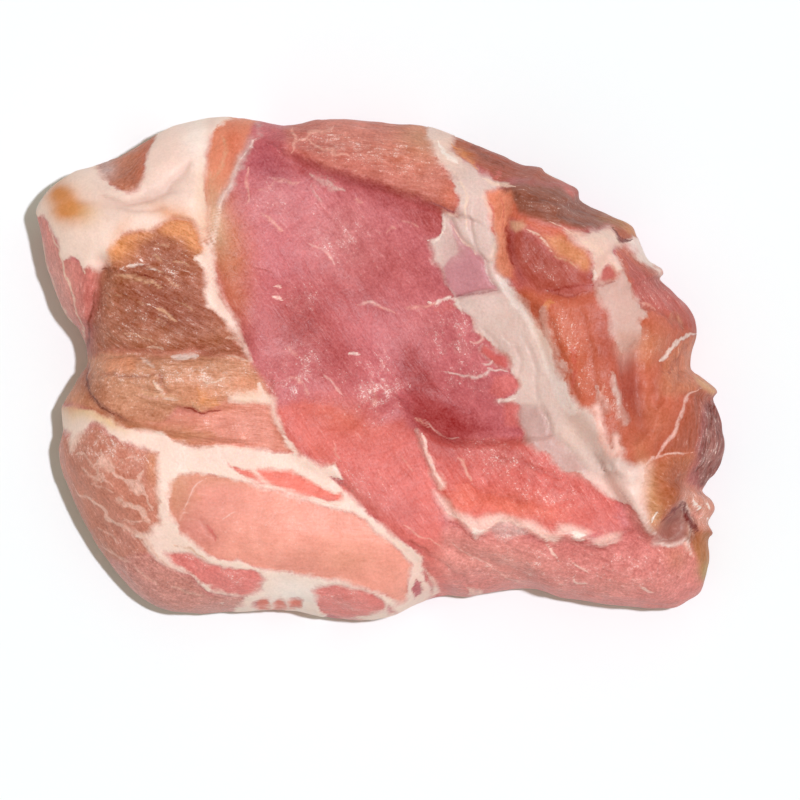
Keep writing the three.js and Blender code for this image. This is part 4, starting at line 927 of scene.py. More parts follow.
        (1.1, 0.82, [(-81.4, -43.6), (-81, -46.6), (-79.6, -49.6)]),
        (1.2, 0.72, [(-97, -62), (-92, -65.6), (-87, -67.4)]),
        (1.1, 0.7, [(-107.5, -30.2), (-103.2, -31.2), (-99.9, -34), (-95.6, -39.2), (-92, -41.6)]),
        (1.3, 0.8, [(-84.8, -57.2), (-81.9, -61), (-79.6, -64.4), (-71.5, -71.4)]),
        (1, 0.65, [(-90.9, -52.5), (-87, -53.4), (-83, -52.6), (-80.6, -54.4)]),
        (1.1, 0.7, [(-89.5, -31.4), (-86.6, -31), (-84, -33)]),
        (1, 0.6, [(-101, -39), (-97, -42), (-93, -43.4)]),
        (1, 0.6, [(-99, -55), (-94.6, -58.4), (-91, -62)]),
        (1, 0.55, [(-86, -69), (-82, -73), (-77, -75.6)]),
        (1.1, 0.6, [(-74, -76.4), (-68, -78.6), (-61.6, -79.6)]),
    ],
    "fringe": [
        (0.8, 0.56, [(-69.6, -52.4), (-66.6, -46), (-64.6, -40.6), (-61, -37.4)]),
        (0.7, 0.56, [(-55.4, -52.6), (-52, -50.6), (-49.2, -48.8)]),
        (3, 0.7, [(78, 38.6), (81, 37.6), (83.6, 35)]),
        (1.2, 0.8, [(73.6, -59.6), (76, -61.4), (79, -61.8), (82.6, -59.6)]),
        (2.6, 0.8, [(30.6, -76.6), (33.4, -78.4), (36, -77)]), (3, 0.6, [(15, -76), (17.4, -79.6)]),
        (1.2, 0.9, [(20.4, -44.6), (23.4, -49.6), (27, -51.2), (30, -53.6), (33.7, -57.2), (36.4, -56.2),
            (39, -54.4), (43, -53.4), (48.3, -54), (56.1, -58), (61.5, -60), (63.4, -57), (65.6, -57)]),
        (1.1, 0.9, [(56.4, -58.4), (59, -62.6), (61.7, -67.1)]),
        (0.8, 0.8, [(64, -63.4), (66.6, -67.6), (68.4, -68.8), (71.4, -69), (74, -71)]),
        (1, 0.85, [(66.2, -71.4), (67.4, -73.6), (69.4, -74.8), (72.6, -74.4)]),
        (1.3, 0.9, [(89.7, -76), (92.4, -77), (95.6, -77.3)]),
        (0.8, 0.6, [(23, -59.4), (29, -63.6), (35, -67), (40.4, -70.4)]),
        (0.8, 0.5, [(40.4, -70.4), (46, -73.4), (52, -75.6)]),
        (1.2, 0.65, [(90.4, -50), (92.4, -55), (94.6, -58), (97.2, -57)]),
        (1.3, 0.75, [(113, -7), (108.4, -8.2), (106.4, -11.6), (105, -17), (102.4, -22.4), (98.6, -27.4),
            (92.4, -34)]), (1, 0.7, [(93, -33), (95.6, -31), (99, -30), (109, -29.2)]),
        (1.5, 0.75, [(-38.2, 29.4), (-36.4, 29.6), (-34.8, 28.4)]),
        (1.6, 0.8, [(-37.4, 24.6), (-35, 24.4), (-33, 23.4)]),
        (1.3, 0.85, [(14.1, -22.3), (16, -27.6), (22, -41)]),
        (1.5, 0.6, [(31, 19.5), (35, 13), (36.3, 11.5), (35, 9.8), (31, 9.5)]),
        (1.4, 0.6, [(-8, 21.4), (-3.5, 22.8), (0, 21.4), (5, 19)]),
        (0.9, 0.5, [(14.4, -17), (17.6, -20.6), (22, -23), (28, -24)]),
        (1.4, 0.45, [(-20, -2), (-16, -5), (-13, -9)]), (1.4, 0.45, [(-25, 44), (-19, 41), (-15, 37)]),
    ],
    "silver": [
        # a painted glint streak
        (3, 0.5, [(81.2, -2.6), (82, -8), (83.4, -13)]),
    ],
    "rollOrange": [
        (5, 0.7, [(-96, 2), (-91, 2.4), (-86, 0.8)]), (6, 0.8, [(-49, -5.6), (-45, -5.4)]),
    ],
    "silverCream": [
        (2, 0.8, [(-83.6, 4.6), (-81, 2.4), (-78.6, 1)]),
    ],
    "whiteFilm": [
        (2, 0.9, [(-73.6, 4.6), (-69, 4.2), (-63.6, 4.8)]),
    ],
    "rollDark": [
        # painted shade under the roll's lower edge
        (1.4, 0.5, [(-76, -20.6), (-68, -22), (-62, -22.8)]),
        (2.6, 0.5, [(-72, -24.6), (-65, -26.8), (-58, -27.2)]),
    ],
    "lobeBrown": [
        (3, 0.7, [(109, 9.6), (106, 7), (103.4, 3), (101.6, -1)]),
    ],
}

# Soft patches of colour.
patches = {  # by finish: edge softness, strength, outline
    "bedDark": [
        # the first patch is painted shade in the dimple's hollow
        (3, 0.6, [(8, 8), (13, 5), (18, -3), (22, -11), (30, -17), (38, -22), (26, -24), (16, -20),
            (10, -8)]), (1.4, 0.6, [(-31, 75), (-28, 75), (-25.5, 71), (-24, 67), (-28, 68)]),
    ],
    "fringe": [
        (1.7, 0.85, [(18.6, -42), (22, -44.6), (25, -48), (29, -49.6), (33, -52), (40, -50.6), (46, -51),
            (50.6, -52.4), (60, -57), (62, -53.6), (66, -54), (72.4, -56), (70.8, -58.8), (67.6, -58.6),
            (64, -56.8), (62.8, -59), (60.8, -60.8), (48, -54.8), (42.6, -54.2), (38.4, -55.2), (36, -57.2),
            (33.6, -58), (27, -52), (23.4, -50.8), (20.6, -46.4)]),
        (1.2, 0.75, [(72.6, -58.6), (76, -58.6), (80, -57), (83.6, -56.6), (82.2, -60), (78.4, -61.8),
            (74, -61)]),
        (3, 0.6, [(90.4, -33), (94.6, -33), (92.6, -48), (92.6, -53), (90, -50), (89.6, -42)]),
        (2, 0.4, [(66, -36), (74, -36.4), (86, -43), (80, -43.4)]),
    ],
    "rose": [
        (0.7, 0.75, [(34, 6.5), (36, 8.5), (41, 5.3), (43.5, 5), (44.2, 3), (43.8, 0.5), (41.5, 0.3),
            (39, 2)]),
    ],
    "roundDeep": [
        (0.8, 0.7, [(43, -12), (45, -11.2), (48, -12.5), (48.8, -20), (44, -20)]),
        (0.8, 0.6, [(39, -2), (45, -1.5), (48, -5.5), (47, -7.5), (41.5, -10), (38, -8)]),
    ],
    "silverGrey": [
        (1.8, 0.5, [(49, -13.5), (54, -13), (57, -16), (57.5, -21), (54, -26), (50.6, -22)]),
        (1.6, 0.55, [(38.4, -55.6), (43, -54.4), (48, -55), (50.6, -57), (46, -58.4), (40, -57.6)]),
        (1.6, 0.55, [(-55, 56.4), (-44, 81), (-47, 80), (-50.6, 73), (-57.4, 57)]),
    ],
    "pocketFilm": [
        (1.6, 0.5, [(104, -49), (106.4, -49), (107, -55), (105, -59), (102, -60)]),
    ],
    "block": [
        (2, 0.4, [(82, 4), (90, 2), (91, -8), (85, -12), (82, -4)]),
    ],
    "mauveFilm": [
        (2.4, 0.35, [(25.6, 39), (34.4, 38.4), (37, 31.4), (38.6, 28.4), (40, 27.2), (36, 26.4), (27, 25.8),
            (25.4, 31)]),
    ],
    "stripOrange": [
        (1.2, 0.9, [(37, 61.4), (41, 62.6), (45, 61.6), (46, 57), (43.6, 50), (43.8, 45), (45.8, 35),
            (46, 32), (43.6, 31.6), (41, 34), (40, 37), (41.4, 42), (40.6, 46), (39, 50)]),
    ],
    "tanPale": [
        (1, 0.75, [(45, 51.4), (49, 51.6), (50.4, 49.2), (46.8, 47.8), (45, 48.6)]),
    ],
    "bandOrange": [
        (1.4, 0.8, [(58, 46), (62, 46.6), (67, 44.2), (71, 40.4), (72, 36.4), (70, 34.6), (59, 43.6)]),
    ],
    "sideRed": [
        (0.7, 0.9, [(76, 33.6), (78, 34.6), (80.4, 34), (80.6, 31.6), (78, 30.2), (76, 30.8)]),
    ],
    "stripBrown": [
        (1, 0.7, [(83, 50), (86, 49.6), (88.4, 47), (88, 45.4), (85.6, 45.6), (84, 47.6)]),
    ],
    "lobeTan": [
        (1, 0.7, [(83.4, 52), (87, 51.2), (89.8, 47.4), (88.4, 46.2), (86.4, 49.2)]),
    ],
    "shoulderTan": [
        (2.4, 0.6, [(82, 13), (86, 12), (91, 13), (89, 7), (84, 5)]),
    ],
    "rollOrange": [
        (1.4, 0.6, [(-97, 3.6), (-90, 4.4), (-85.6, 3), (-86, -0.6), (-91, -1.6), (-96, 0)]),
        (2, 0.7, [(-50, -3), (-44.4, -3.4), (-43.6, -6.6), (-51, -7.6)]),
    ],
    "rosePale": [
        (2.4, 0.5, [(-62, -16), (-38, -13), (-35, -20), (-38, -26), (-55, -25.6)]),
    ],
    "paleFilm": [
        (4, 0.5, [(81, 14), (86, 12), (91, 13), (89.6, 5), (85, 0), (83, 5)]),
    ],
    "fatYellow": [
        (1, 0.6, [(109.4, -2.4), (112, -3.4), (118.4, -8), (115.6, -9), (113.4, -7.4)]),
    ],
    "orangePale": [
        (2, 0.6, [(-95, 38), (-93, 43), (-88, 48), (-82, 49.6), (-80, 47), (-86, 44), (-90, 40)]),
        (2, 0.6, [(-80, 50), (-72.4, 52.4), (-67, 51), (-63.4, 46), (-62, 41), (-66, 42), (-70, 46),
            (-76, 47.4)]),
    ],
}

# Narrow folds that only show close up, each also darkened with painted shade: depth, width, line.
fineFolds = [
    (0.9, 0.8, [(26.7, 24.6), (34, 26.6), (41.6, 26.8), (38.4, 30.1), (36.4, 36.2), (34.4, 39.3),
                (29.8, 43.6), (24, 51.6)]),
    (0.7, 0.7, [(48.5, -13.2), (54, -12.8), (57.4, -15), (58.8, -20), (61.6, -23.8), (65.4, -27.4),
                (69.6, -32), (73, -36.2)]),
    (0.5, 0.6, [(31.1, 58), (30.6, 53), (31.2, 48.5)]),
    (0.7, 0.7, [(10, -59), (18, -65.6), (26, -71.8), (31.6, -76)]),
    (0.8, 0.8, [(-62, -52), (-59.6, -55), (-57, -58)]),
    (0.8, 0.9, [(-97, 60), (-90, 57.4), (-83, 58.6), (-76, 61.4), (-70, 66.6), (-67, 72)]),
    (0.6, 0.7, [(-92, 56), (-84, 54.4), (-76, 56.6)]),
    (0.7, 0.8, [(-62.6, 44), (-66.4, 50.4), (-72, 54)]),
    (0.9, 0.8, [(-97, -1), (-91, -2.8), (-85, -2.6), (-80.5, -2), (-77, -1), (-76, -5), (-75, -9)]),
    (0.7, 0.9, [(-102.8, 1), (-103.4, -4), (-102, -8), (-100, -11), (-97, -13.6), (-93, -16),
                (-89.6, -18.2)]),
    (0.5, 0.8, [(-72.4, -13.4), (-66, -14.8), (-63, -15.7), (-59, -14.8), (-54.6, -14.2)]),
    (0.6, 0.8, [(-98, 4), (-90, 5), (-84, 5.2), (-80, 2.6), (-78, 0.6)]),
    (0.5, 0.7, [(-84, -6.6), (-78, -8), (-71, -9)]),
    (0.4, 1, [(60, 18), (62, 8), (65, -2), (68, -10)]),
    (0.45, 1, [(70, 20), (72, 8), (74, -4), (77, -16)]),
    (0.4, 1, [(84, 4), (86, -8), (89, -20), (91, -30)]),
    (0.7, 0.8, [(104, 4), (104.6, -2), (103, -8)]),
    (0.7, 0.9, [(92.4, 21.8), (98, 20.4), (102.2, 17.6), (106, 14.6)]),
    (0.6, 0.8, [(46, 60), (56, 58.6), (68, 56), (78, 52.6)]),
    (0.5, 0.7, [(48, 56), (60, 53.4), (72, 51)]),
    (0.7, 0.8, [(40, -31), (52, -34), (62, -38)]),
    (0.6, 0.7, [(30, -40), (40, -44), (50, -46)]),
    # wrinkles of the silverskin
    (0.6, 0.5, [(30.8, 56), (32.5, 45.2), (35.5, 38.1), (41.5, 38.1)]),
    (0.5, 0.4, [(40.3, 41.6), (39.2, 36.8), (42.7, 30.8)]),
    (0.6, 0.45, [(49.9, 11.7), (54.1, 2.1), (55.3, -8.6), (58.3, -17), (59.3, -23)]),
    (0.5, 0.5, [(46.3, 8.1), (48.7, 3.3), (48.1, -1.4)]),
    (0.5, 0.4, [(36.7, 14.1), (42.7, 7)]),
]


def srgbToLinear(values):
    share = np.array(values, float) / 255
    return np.where(share <= 0.04045, share / 12.92, ((share + 0.055) / 1.055) ** 2.4)


def tintOf(finish):  # the surface's own colour, once the light on it is taken off
    return np.clip(srgbToLinear(finishes[finish]) / daylight["level"] - daylight["sheen"], 0.002, 1)


def insideOf(points, at, reach=paintReach):  # distance to a closed outline, positive inside, up to the reach
    corners = np.array(points, float)
    low, high = corners.min(0) - reach, corners.max(0) + reach
    some = np.nonzero(((at > low) & (at < high)).all(1))[0]
    spot = at[some]
    gap = np.full(len(some), float(reach))
    within = np.zeros(len(some), bool)
    for a, b in zip(corners, np.roll(corners, -1, 0)):
        step = b - a
        rel = spot - a
        run = np.clip(rel @ step / (step @ step), 0, 1)[:, None]
        gap = np.minimum(gap, np.hypot(*(rel - run * step).T))
        crosses = (a[1] > spot[:, 1]) != (b[1] > spot[:, 1])
        if step[1]:
            within ^= crosses & (rel[:, 0] < rel[:, 1] * step[0] / step[1])
    result = np.full(len(at), -float(reach))
    result[some] = np.where(within, gap, -gap)
    return result


def seamOf(widths, points, at, reach=paintReach):  # the same for a seam whose width changes along its line
    line = drawn(points)
    some = nearby(line, at, reach)
    result = np.full(len(at), -float(reach))
    distance, _, _, along = nearestOn(line, at[some])
    width = widths[0] + (widths[1] - widths[0]) * along
    result[some] = np.maximum(width / 2 - distance, -reach)
    return result


def washed(tint, washes, at):
    for finish, middle, size, turn, strength in washes:
        share = np.clip(oval(at, middle, size, turn) * strength, 0, 1)[:, None]
        tint += (tintOf(finish) - tint) * share
    return tint


def grainWeights(direction):  # how much of each fixed fibre direction an area takes
    away = np.abs((np.array(fibreDirections) - direction + 90) % 180 - 90)
    return (away == away.min()).astype(float)


def paintedLean(at):  # colour, fibres' direction, and how much they, the specks and the sparkle show
    tint = np.tile(tintOf(bed["finish"]), (len(at), 1))
    grain = np.tile(grainWeights(bed["grain"]), (len(at), 1))
    fibres, specks = np.full(len(at), bed["fibres"]), np.full(len(at), bed["specks"])
    for finish, edge, direction, fibreShare, speckShare, points in leanAreas.values():
        distance = insideOf(points, at)
        share = smoothstep(-edge, edge, distance)
        tint += (tintOf(finish) - tint) * share[:, None]
        grain += (grainWeights(direction) - grain) * smoothstep(-1, 1, distance)[:, None]
        fibres += (fibreShare - fibres) * share
        specks += (speckShare - specks) * share
    # the painted sparkle
    sparkle = np.zeros(len(at))
    for middle, size, turn, strength in sparkles:
        sparkle += strength * oval(at, middle, size, turn)
    return washed(tint, leanWashes, at), grain, fibres, specks, np.clip(sparkle, 0, 1)


def paintedFat(at, faintCover=0.55):
    distance, cover = np.full(len(at), -float(paintReach)), np.ones(len(at))
    for kind, *rest in fatShapes:
        if kind in ("line", "faint"):
            own = seamOf(*rest, at)
            thin = smoothstep(-1.6, -0.4, own) * (distance < 0) * (kind == "faint")
            cover += (faintCover - cover) * thin
            distance = np.maximum(distance, own)
        elif kind == "add":
            distance = np.maximum(distance, insideOf(*rest, at))
        else:
            points = leanAreas[rest[0]][-1] if isinstance(rest[0], str) else rest[0]
            distance = np.minimum(distance, -insideOf(points, at))
    tint = np.tile(tintOf("fat"), (len(at), 1))
    return distance, washed(tint, fatWashes, at), cover


def paintedFilm(at, edge=0.6):
    distance = np.full(len(at), -float(paintReach))
    tint = np.tile(tintOf("silver"), (len(at), 1))
    cover = np.full(len(at), 0.9)
    for finish, hiding, kind, *rest in filmShapes:
        own = seamOf(*rest, at) if kind == "line" else insideOf(*rest, at)
        share = smoothstep(-edge, edge, own)
        tint += (tintOf(finish) - tint) * share[:, None]
        cover += (hiding - cover) * share
        distance = np.maximum(distance, own)
    return distance, washed(tint, filmWashes, at), cover


def paintedStrokes(at, far=4.0):  # of the nearest stroke: colour, place across it, distance, strength
    tint = np.tile(tintOf("cream"), (len(at), 1))
    across, apart, strength = np.full(len(at), far), np.full(len(at), far), np.zeros(len(at))
    brushed = [(finish, *stroke) for finish, group in strokes.items() for stroke in group]
    for finish, width, own, points in brushed:
        line = drawn(points)
        some = nearby(line, at, 1.5 * width + 2)
        distance, side, _, along = nearestOn(line, at[some])
        taper = smoothstep(-0.12, 0.3, np.minimum(along, 1 - along))
        share = 2 * distance / (width * np.maximum(taper, 0.3))
        near = share < apart[some]
        chosen = some[near]
        apart[chosen], across[chosen] = share[near], share[near] * side[near]
        strength[chosen], tint[chosen] = own, tintOf(finish)
    return tint, np.column_stack([across, apart, strength])


def paintedPatches(at):  # colour already weighted by the share that it covers, and that share
    tint, cover = np.zeros((len(at), 3)), np.zeros(len(at))
    spread = [(finish, *patch) for finish, group in patches.items() for patch in group]
    for finish, softness, strength, points in spread:
        share = strength * smoothstep(-softness, softness, insideOf(points, at))
        cover += (1 - cover) * share
        tint += (tintOf(finish) - tint) * share[:, None]
    return np.column_stack([tint, cover])


# besides the depth, this works out the painted shade that darkens every fold and crease
def foldsAt(at, darkWidth=0.45, darkestDepth=4.5):  # depth of the narrow folds, how dark every fold is
    fades = form["fades"]
    depthHere, dark = np.zeros(len(at)), np.zeros(len(at))
    for depth, width, points in fineFolds:
        line = drawn(points)
        some = nearby(line, at, foldReach)
        distance, _, past, _ = nearestOn(line, at[some])
        share = (1 - smoothstep(0, fades["fold"], past)) * np.exp(-(distance / width) ** 2)
        depthHere[some] += depth * share
        dark[some] = np.maximum(dark[some], 0.8 * depth * share)
    for depth, width, points in form["creases"].values():
        line = drawn(points)
        some = nearby(line, at, creaseReach)
        distance, _, past, _ = nearestOn(line, at[some])
        share = 1 - smoothstep(0, fades["darkCrease"], past)
        share *= np.exp(-(distance / (darkWidth * width)) ** 2)
        dark[some] = np.maximum(dark[some], share * depth / darkestDepth)
    return depthHere, np.clip(dark, 0, 1)


def skinFaces():
    count = 2 * form["rings"] + 1
    index = np.arange(count * count).reshape(count, count)
    return np.stack([index[:-1, :-1], index[:-1, 1:], index[1:, 1:], index[1:, :-1]], -1).reshape(-1, 4)


def rimIndices():  # the grid's border, anticlockwise seen from above
    count = 2 * form["rings"] + 1
    index = np.arange(count * count).reshape(count, count)
    return np.concatenate([index[0, :-1], index[:-1, -1], index[-1, :0:-1], index[:0:-1, 0]])


def undersideFill(rim):  # points inside the rim, and triangles that face down
    spacing = form["undersideSpacing"]
    random = np.random.default_rng(form["undersideSeed"])
    low, high = rim.min(0), rim.max(0)
    rows = np.arange(low[1], high[1], spacing * 0.87)
    places = [(x, y) for i, y in enumerate(rows)
              for x in np.arange(low[0] + spacing * 0.5 * (i % 2), high[0], spacing)]
    places = np.array(places) + random.uniform(-0.2, 0.2, (len(places), 2)) * spacing
    closed = np.vstack([rim, rim[:1]])
    inside = insideOf(rim, places, reach=spacing) > spacing * 0.6
    places = places[inside]
    edge, _, _, _ = nearestOn(closed[::4], places)
    points = [Vector(p) for p in np.vstack([rim, places])]
    edges = [(i, (i + 1) % len(rim)) for i in range(len(rim))]
    _, _, triangles, _, _, _ = delaunay_2d_cdt(points, edges, [], 1, 1e-6)
    return places, edge, np.array(triangles)[:, ::-1]


def addAttribute(mesh, name, kind, values):
    attribute = mesh.attributes.new(name, kind, "POINT")
    key = "color" if kind == "FLOAT_COLOR" else "vector"
    attribute.data.foreach_set(key, np.ascontiguousarray(values, dtype=np.float32).ravel())


def normalsOf(mesh):
    normals = np.empty(len(mesh.vertices) * 3, np.float32)
    mesh.vertices.foreach_get("normal", normals)
    return normals.reshape(-1, 3).astype(float)


def closedSkin():  # skin and underside: places, where they are painted, how far underneath, faces
    places, paint, under = skinPlaces()
    height, wavelength, seed = form["slowWave"]
    fade = smoothstep(0, form["fades"]["slowWave"], places[:, 2])
    slow = valueNoise(places / wavelength, seed) * height * fade
    out = np.hypot(places[:, 0], places[:, 1])
    places[:, :2] *= (1 + slow / np.maximum(form["stillMiddle"], out))[:, None]
    places[:, 2] += slow
    rim = rimIndices()
    inner, edge, triangles = undersideFill(places[rim][:, :2])
    height, wavelength, seed = form["undersideLift"]
    hollows = valueNoise(np.column_stack([inner / wavelength, np.zeros(len(inner))]), seed)
    lift = height * smoothstep(0, form["undersideRim"], edge) * (1 + 0.5 * hollows)
    corners = np.concatenate([rim, len(places) + np.arange(len(inner))])
    faces = [tuple(face) for face in skinFaces()] + [tuple(face) for face in corners[triangles]]
    places = np.vstack([places, np.column_stack([inner, lift])])
    return places, np.vstack([paint, inner]), np.concatenate([under, np.ones(len(inner))]), faces


def warped(paint, places):
    for size, amount, seed in form["warp"]:
        paint = paint + amount * np.column_stack([
            valueNoise(places / size, seed), valueNoise(places / size, seed + 1)])
    return paint


def ontoSolid(places):  # the shift that puts the meat where its CAD node lies
    low, high = (np.array(corner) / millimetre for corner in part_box("collar"))
    middle = (places.min(0) + places.max(0)) / 2
    return np.array([(low[0] + high[0]) / 2 - middle[0], (low[1] + high[1]) / 2 - middle[1], 0])


def fineRelief(places, under, grain, fibres, onFat, onFilm):  # height over the plain skin
    relief = form["relief"]
    ridges = np.zeros(len(places))
    fibreHeight, fibreSize, fibreSeed = relief["fibres"]
    for weight, direction in zip(grain.T, np.radians(fibreDirections)):
        cosine, sine = math.cos(direction), math.sin(direction)
        turned = places @ np.array([[cosine, -sine, 0], [sine, cosine, 0], [0, 0, 1]])
        ridges += weight * valueNoise(turned / fibreSize, fibreSeed)
    lumps, grains, walls = (
        rise * valueNoise(places / size, seed)
        for rise, size, seed in (relief["lumps"], relief["grains"], relief["walls"]))
    height = lumps + grains + walls * smoothstep(0, relief["wallsFrom"], under)
    height += fibreHeight * fibres * ridges * (1 - onFat)
    height += relief["fat"] * onFat + relief["film"] * onFilm * (1 - onFat)
    return height


def buildMeat():
    places, paint, under, faces = closedSkin()
    paint = warped(paint, places)
    lean, grain, fibres, specks, sparkle = paintedLean(paint)
    fatDistance, fat, fatCover = paintedFat(paint)
    filmDistance, film, cover = paintedFilm(paint)
    strokeTint, strokePlace = paintedStrokes(paint)
    foldDepth, dark = foldsAt(paint)

    mesh = bpy.data.meshes.new("porkCollar")
    mesh.from_pydata((places * millimetre).tolist(), [], faces)
    mesh.shade_smooth()
    onFat, onFilm = smoothstep(-0.3, 0.5, fatDistance), smoothstep(-0.3, 0.4, filmDistance)
    height = fineRelief(places, under, grain, fibres, onFat, onFilm) - foldDepth
    height *= smoothstep(0, form["fades"]["relief"], places[:, 2]) * (under < 1)
    moved = places + normalsOf(mesh) * height[:, None] + ontoSolid(places)
    moved[:, 2] = np.maximum(moved[:, 2], 0)
    mesh.vertices.foreach_set("co", (moved * millimetre).ravel())
    mesh.update()

    # the lean's alpha carries the painted sparkle
    addAttribute(mesh, "leanTint", "FLOAT_COLOR", np.column_stack([lean, sparkle]))
    addAttribute(mesh, "fatTint", "FLOAT_COLOR", np.column_stack([fat, fatCover]))
    addAttribute(mesh, "filmTint", "FLOAT_COLOR", np.column_stack([film, cover]))
    addAttribute(mesh, "patchTint", "FLOAT_COLOR", paintedPatches(paint))
    addAttribute(mesh, "strokeTint", "FLOAT_VECTOR", strokeTint)
    addAttribute(mesh, "strokePlace", "FLOAT_VECTOR", strokePlace)
    # the third part of edges is the painted shade of folds and creases
    addAttribute(mesh, "edges", "FLOAT_VECTOR", np.column_stack([fatDistance, filmDistance, dark]))
    addAttribute(mesh, "grain", "FLOAT_COLOR", grain)
    addAttribute(mesh, "look", "FLOAT_VECTOR", np.column_stack([fibres, specks, under]))
    meat = bpy.data.objects.new("porkCollar", mesh)
    scene.collection.objects.link(meat)
    return meat


class Graph:  # short calls for building a shader tree
    def __init__(self, tree):
        self.tree = tree
        tree.nodes.clear()

    def add(self, kind, inputs=None, **settings):
        node = self.tree.nodes.new(kind)
        for name, value in settings.items():
            setattr(node, name, value)
        for key, value in (inputs or {}).items():
            self.feed(node.inputs[key], value)
        return node

    def feed(self, socket, value):
        if isinstance(value, bpy.types.NodeSocket):
            self.tree.links.new(value, socket)
        else:
            socket.default_value = value

    def calc(self, operation, a, b=0.0, c=0.0, clamp=False):
        values = {0: a, 1: b, 2: c} if operation == "MULTIPLY_ADD" else {0: a, 1: b}
        return self.add("ShaderNodeMath", values, operation=operation, use_clamp=clamp).outputs[0]

    def times(self, value, *factors):
        for factor in factors:
            value = self.calc("MULTIPLY", value, factor)
        return value

    def plus(self, value, amount, share):  # the value and a share of the amount
        return self.calc("MULTIPLY_ADD", amount, share, value)

    def sway(self, value, noise, share):  # the value, moved up and down by the noise
        return self.plus(value, self.calc("SUBTRACT", noise, 0.5), share)

    def step(self, value, start, end, low=0.0, high=1.0):
        inputs = {"Value": value, "From Min": start, "From Max": end, "To Min": low, "To Max": high}
        node = self.add("ShaderNodeMapRange", inputs, interpolation_type="SMOOTHSTEP")
        return node.outputs["Result"]

    def mix(self, share, a, b, blend="MIX"):
        node = self.add("ShaderNodeMix", data_type="RGBA", blend_type=blend)
        for key, value in (("Factor", share), ("A", a), ("B", b)):
            self.feed(next(s for s in node.inputs if s.name == key and s.enabled), value)
        return next(s for s in node.outputs if s.enabled)

    def vectorMath(self, operation, *values):
        inputs = dict(enumerate(values))
        return self.add("ShaderNodeVectorMath", inputs, operation=operation).outputs[0]

    def noise(self, vector, size, detail, rough):  # size in mm
        inputs = {"Vector": vector, "Scale": 1 / size, "Detail": detail, "Roughness": rough}
        return self.add("ShaderNodeTexNoise", inputs).outputs["Fac"]

    def attribute(self, name):
        return self.add("ShaderNodeAttribute", attribute_name=name)

    def parts(self, vector):
        return self.add("ShaderNodeSeparateXYZ", {0: vector}).outputs[:]


rawPorkLook = {
    # noises: size in mm, detail, roughness
    "broad": (9, 2, 0.5), "middling": (3, 3, 0.6), "fine": (0.9, 2, 0.6),
    "fatWaves": (3.4, 2, 0.5), "filmFading": (7, 2, 0.5), "clusters": (4.5, 3, 0.7),
    "glints": (0.55, 2, 0.7), "strokeGaps": (2.2, 3, 0.7), "underCap": (26, 4, 0.55),
    "threads": (1, 3, 0.62), "threadStretch": (0.16, 0.8, 0.8),  # along and across the fibres
    # how far noises shift an edge, in mm: coarse, fine, along the fibres
    "fatEdge": (1.6, 0.6, 1.2), "filmEdge": (2.2, 0.6, 0.8), "strokeEdge": (2.4, 0.8),
    # where a noise begins and ends to show, and what it then gives
    "dashFibres": (0.6, 0.7), "dashGroups": (0.45, 0.6), "clusterEdge": (0.4, 0.6),
    "glintEdge": (0.0, 0.07), "glintChanceEdge": (0.02, 0.3),
    "fatSoftness": (0.3, 0.7, 0.5, 2), "filmSoftness": (0.35, 0.65, 0.5, 2.4),
    "filmWear": (0.35, 0.7, 1, 0.9), "gapEdge": (0.34, 0.58), "strokeEnd": (1.2, 1.7, 1, 0),
    "foldUneven": (0.2, 0.8, 0.7, 1.2), "underPatches": (0.46, 0.58),
    "underUneven": (0.2, 0.8, 0.9, 1.08), "underEdge": (0.45, 0.8), "fibreRidges": (0.25, 0.75),
    "roughness": (0.3, 0.7, 0.42, 0.58),
    # painted highlights: pale fibre dashes, sparkle and glints mixed into the colour
    "paleTint": (1.0, 0.8, 0.72, 1), "paleShare": 0.6, "dashes": 0.4, "sparkle": 0.25,
    "glintTint": (1.0, 0.84, 0.78, 1), "glint": 0.55, "glintReach": -0.16, "glintLevel": 0.67,
    # mottling by the fine, middling, thread and broad noises: with the area's share, on its own
    "mottling": {"fine": (0.4, 0.22), "middling": (0.36, 0.06), "threads": 0.6, "broad": 0.3},
    # the first entry is how far the mottling lifts towards white as a painted wet sheen
    "sheenVeil": 0.2, "calmFat": -0.6, "calmFilm": -0.45, "darkest": (0.004, 0.004, 0.004),
    # the colour and strength of the painted shade in folds and creases
    "foldShadeTint": (0.45, 0.22, 0.2, 1), "foldShade": 0.4,
    "underLean": (0.5, 0.17, 0.13, 1), "underFat": (0.84, 0.6, 0.5, 1),
    # relief in mm
    "fibreRelief": (0.24, 0.02), "strokeRelief": 0.14, "middlingRelief": 0.24, "fineRelief": 0.1,
    "filmRelief": 0.12, "fatRelief": 0.15, "bump": 0.9,
    "refraction": 1.33, "coat": 0.05, "coatRoughness": 0.26,
    "subsurface": 0.1, "subsurfaceScale": 0.002, "subsurfaceRadius": (1.0, 0.35, 0.2),
}


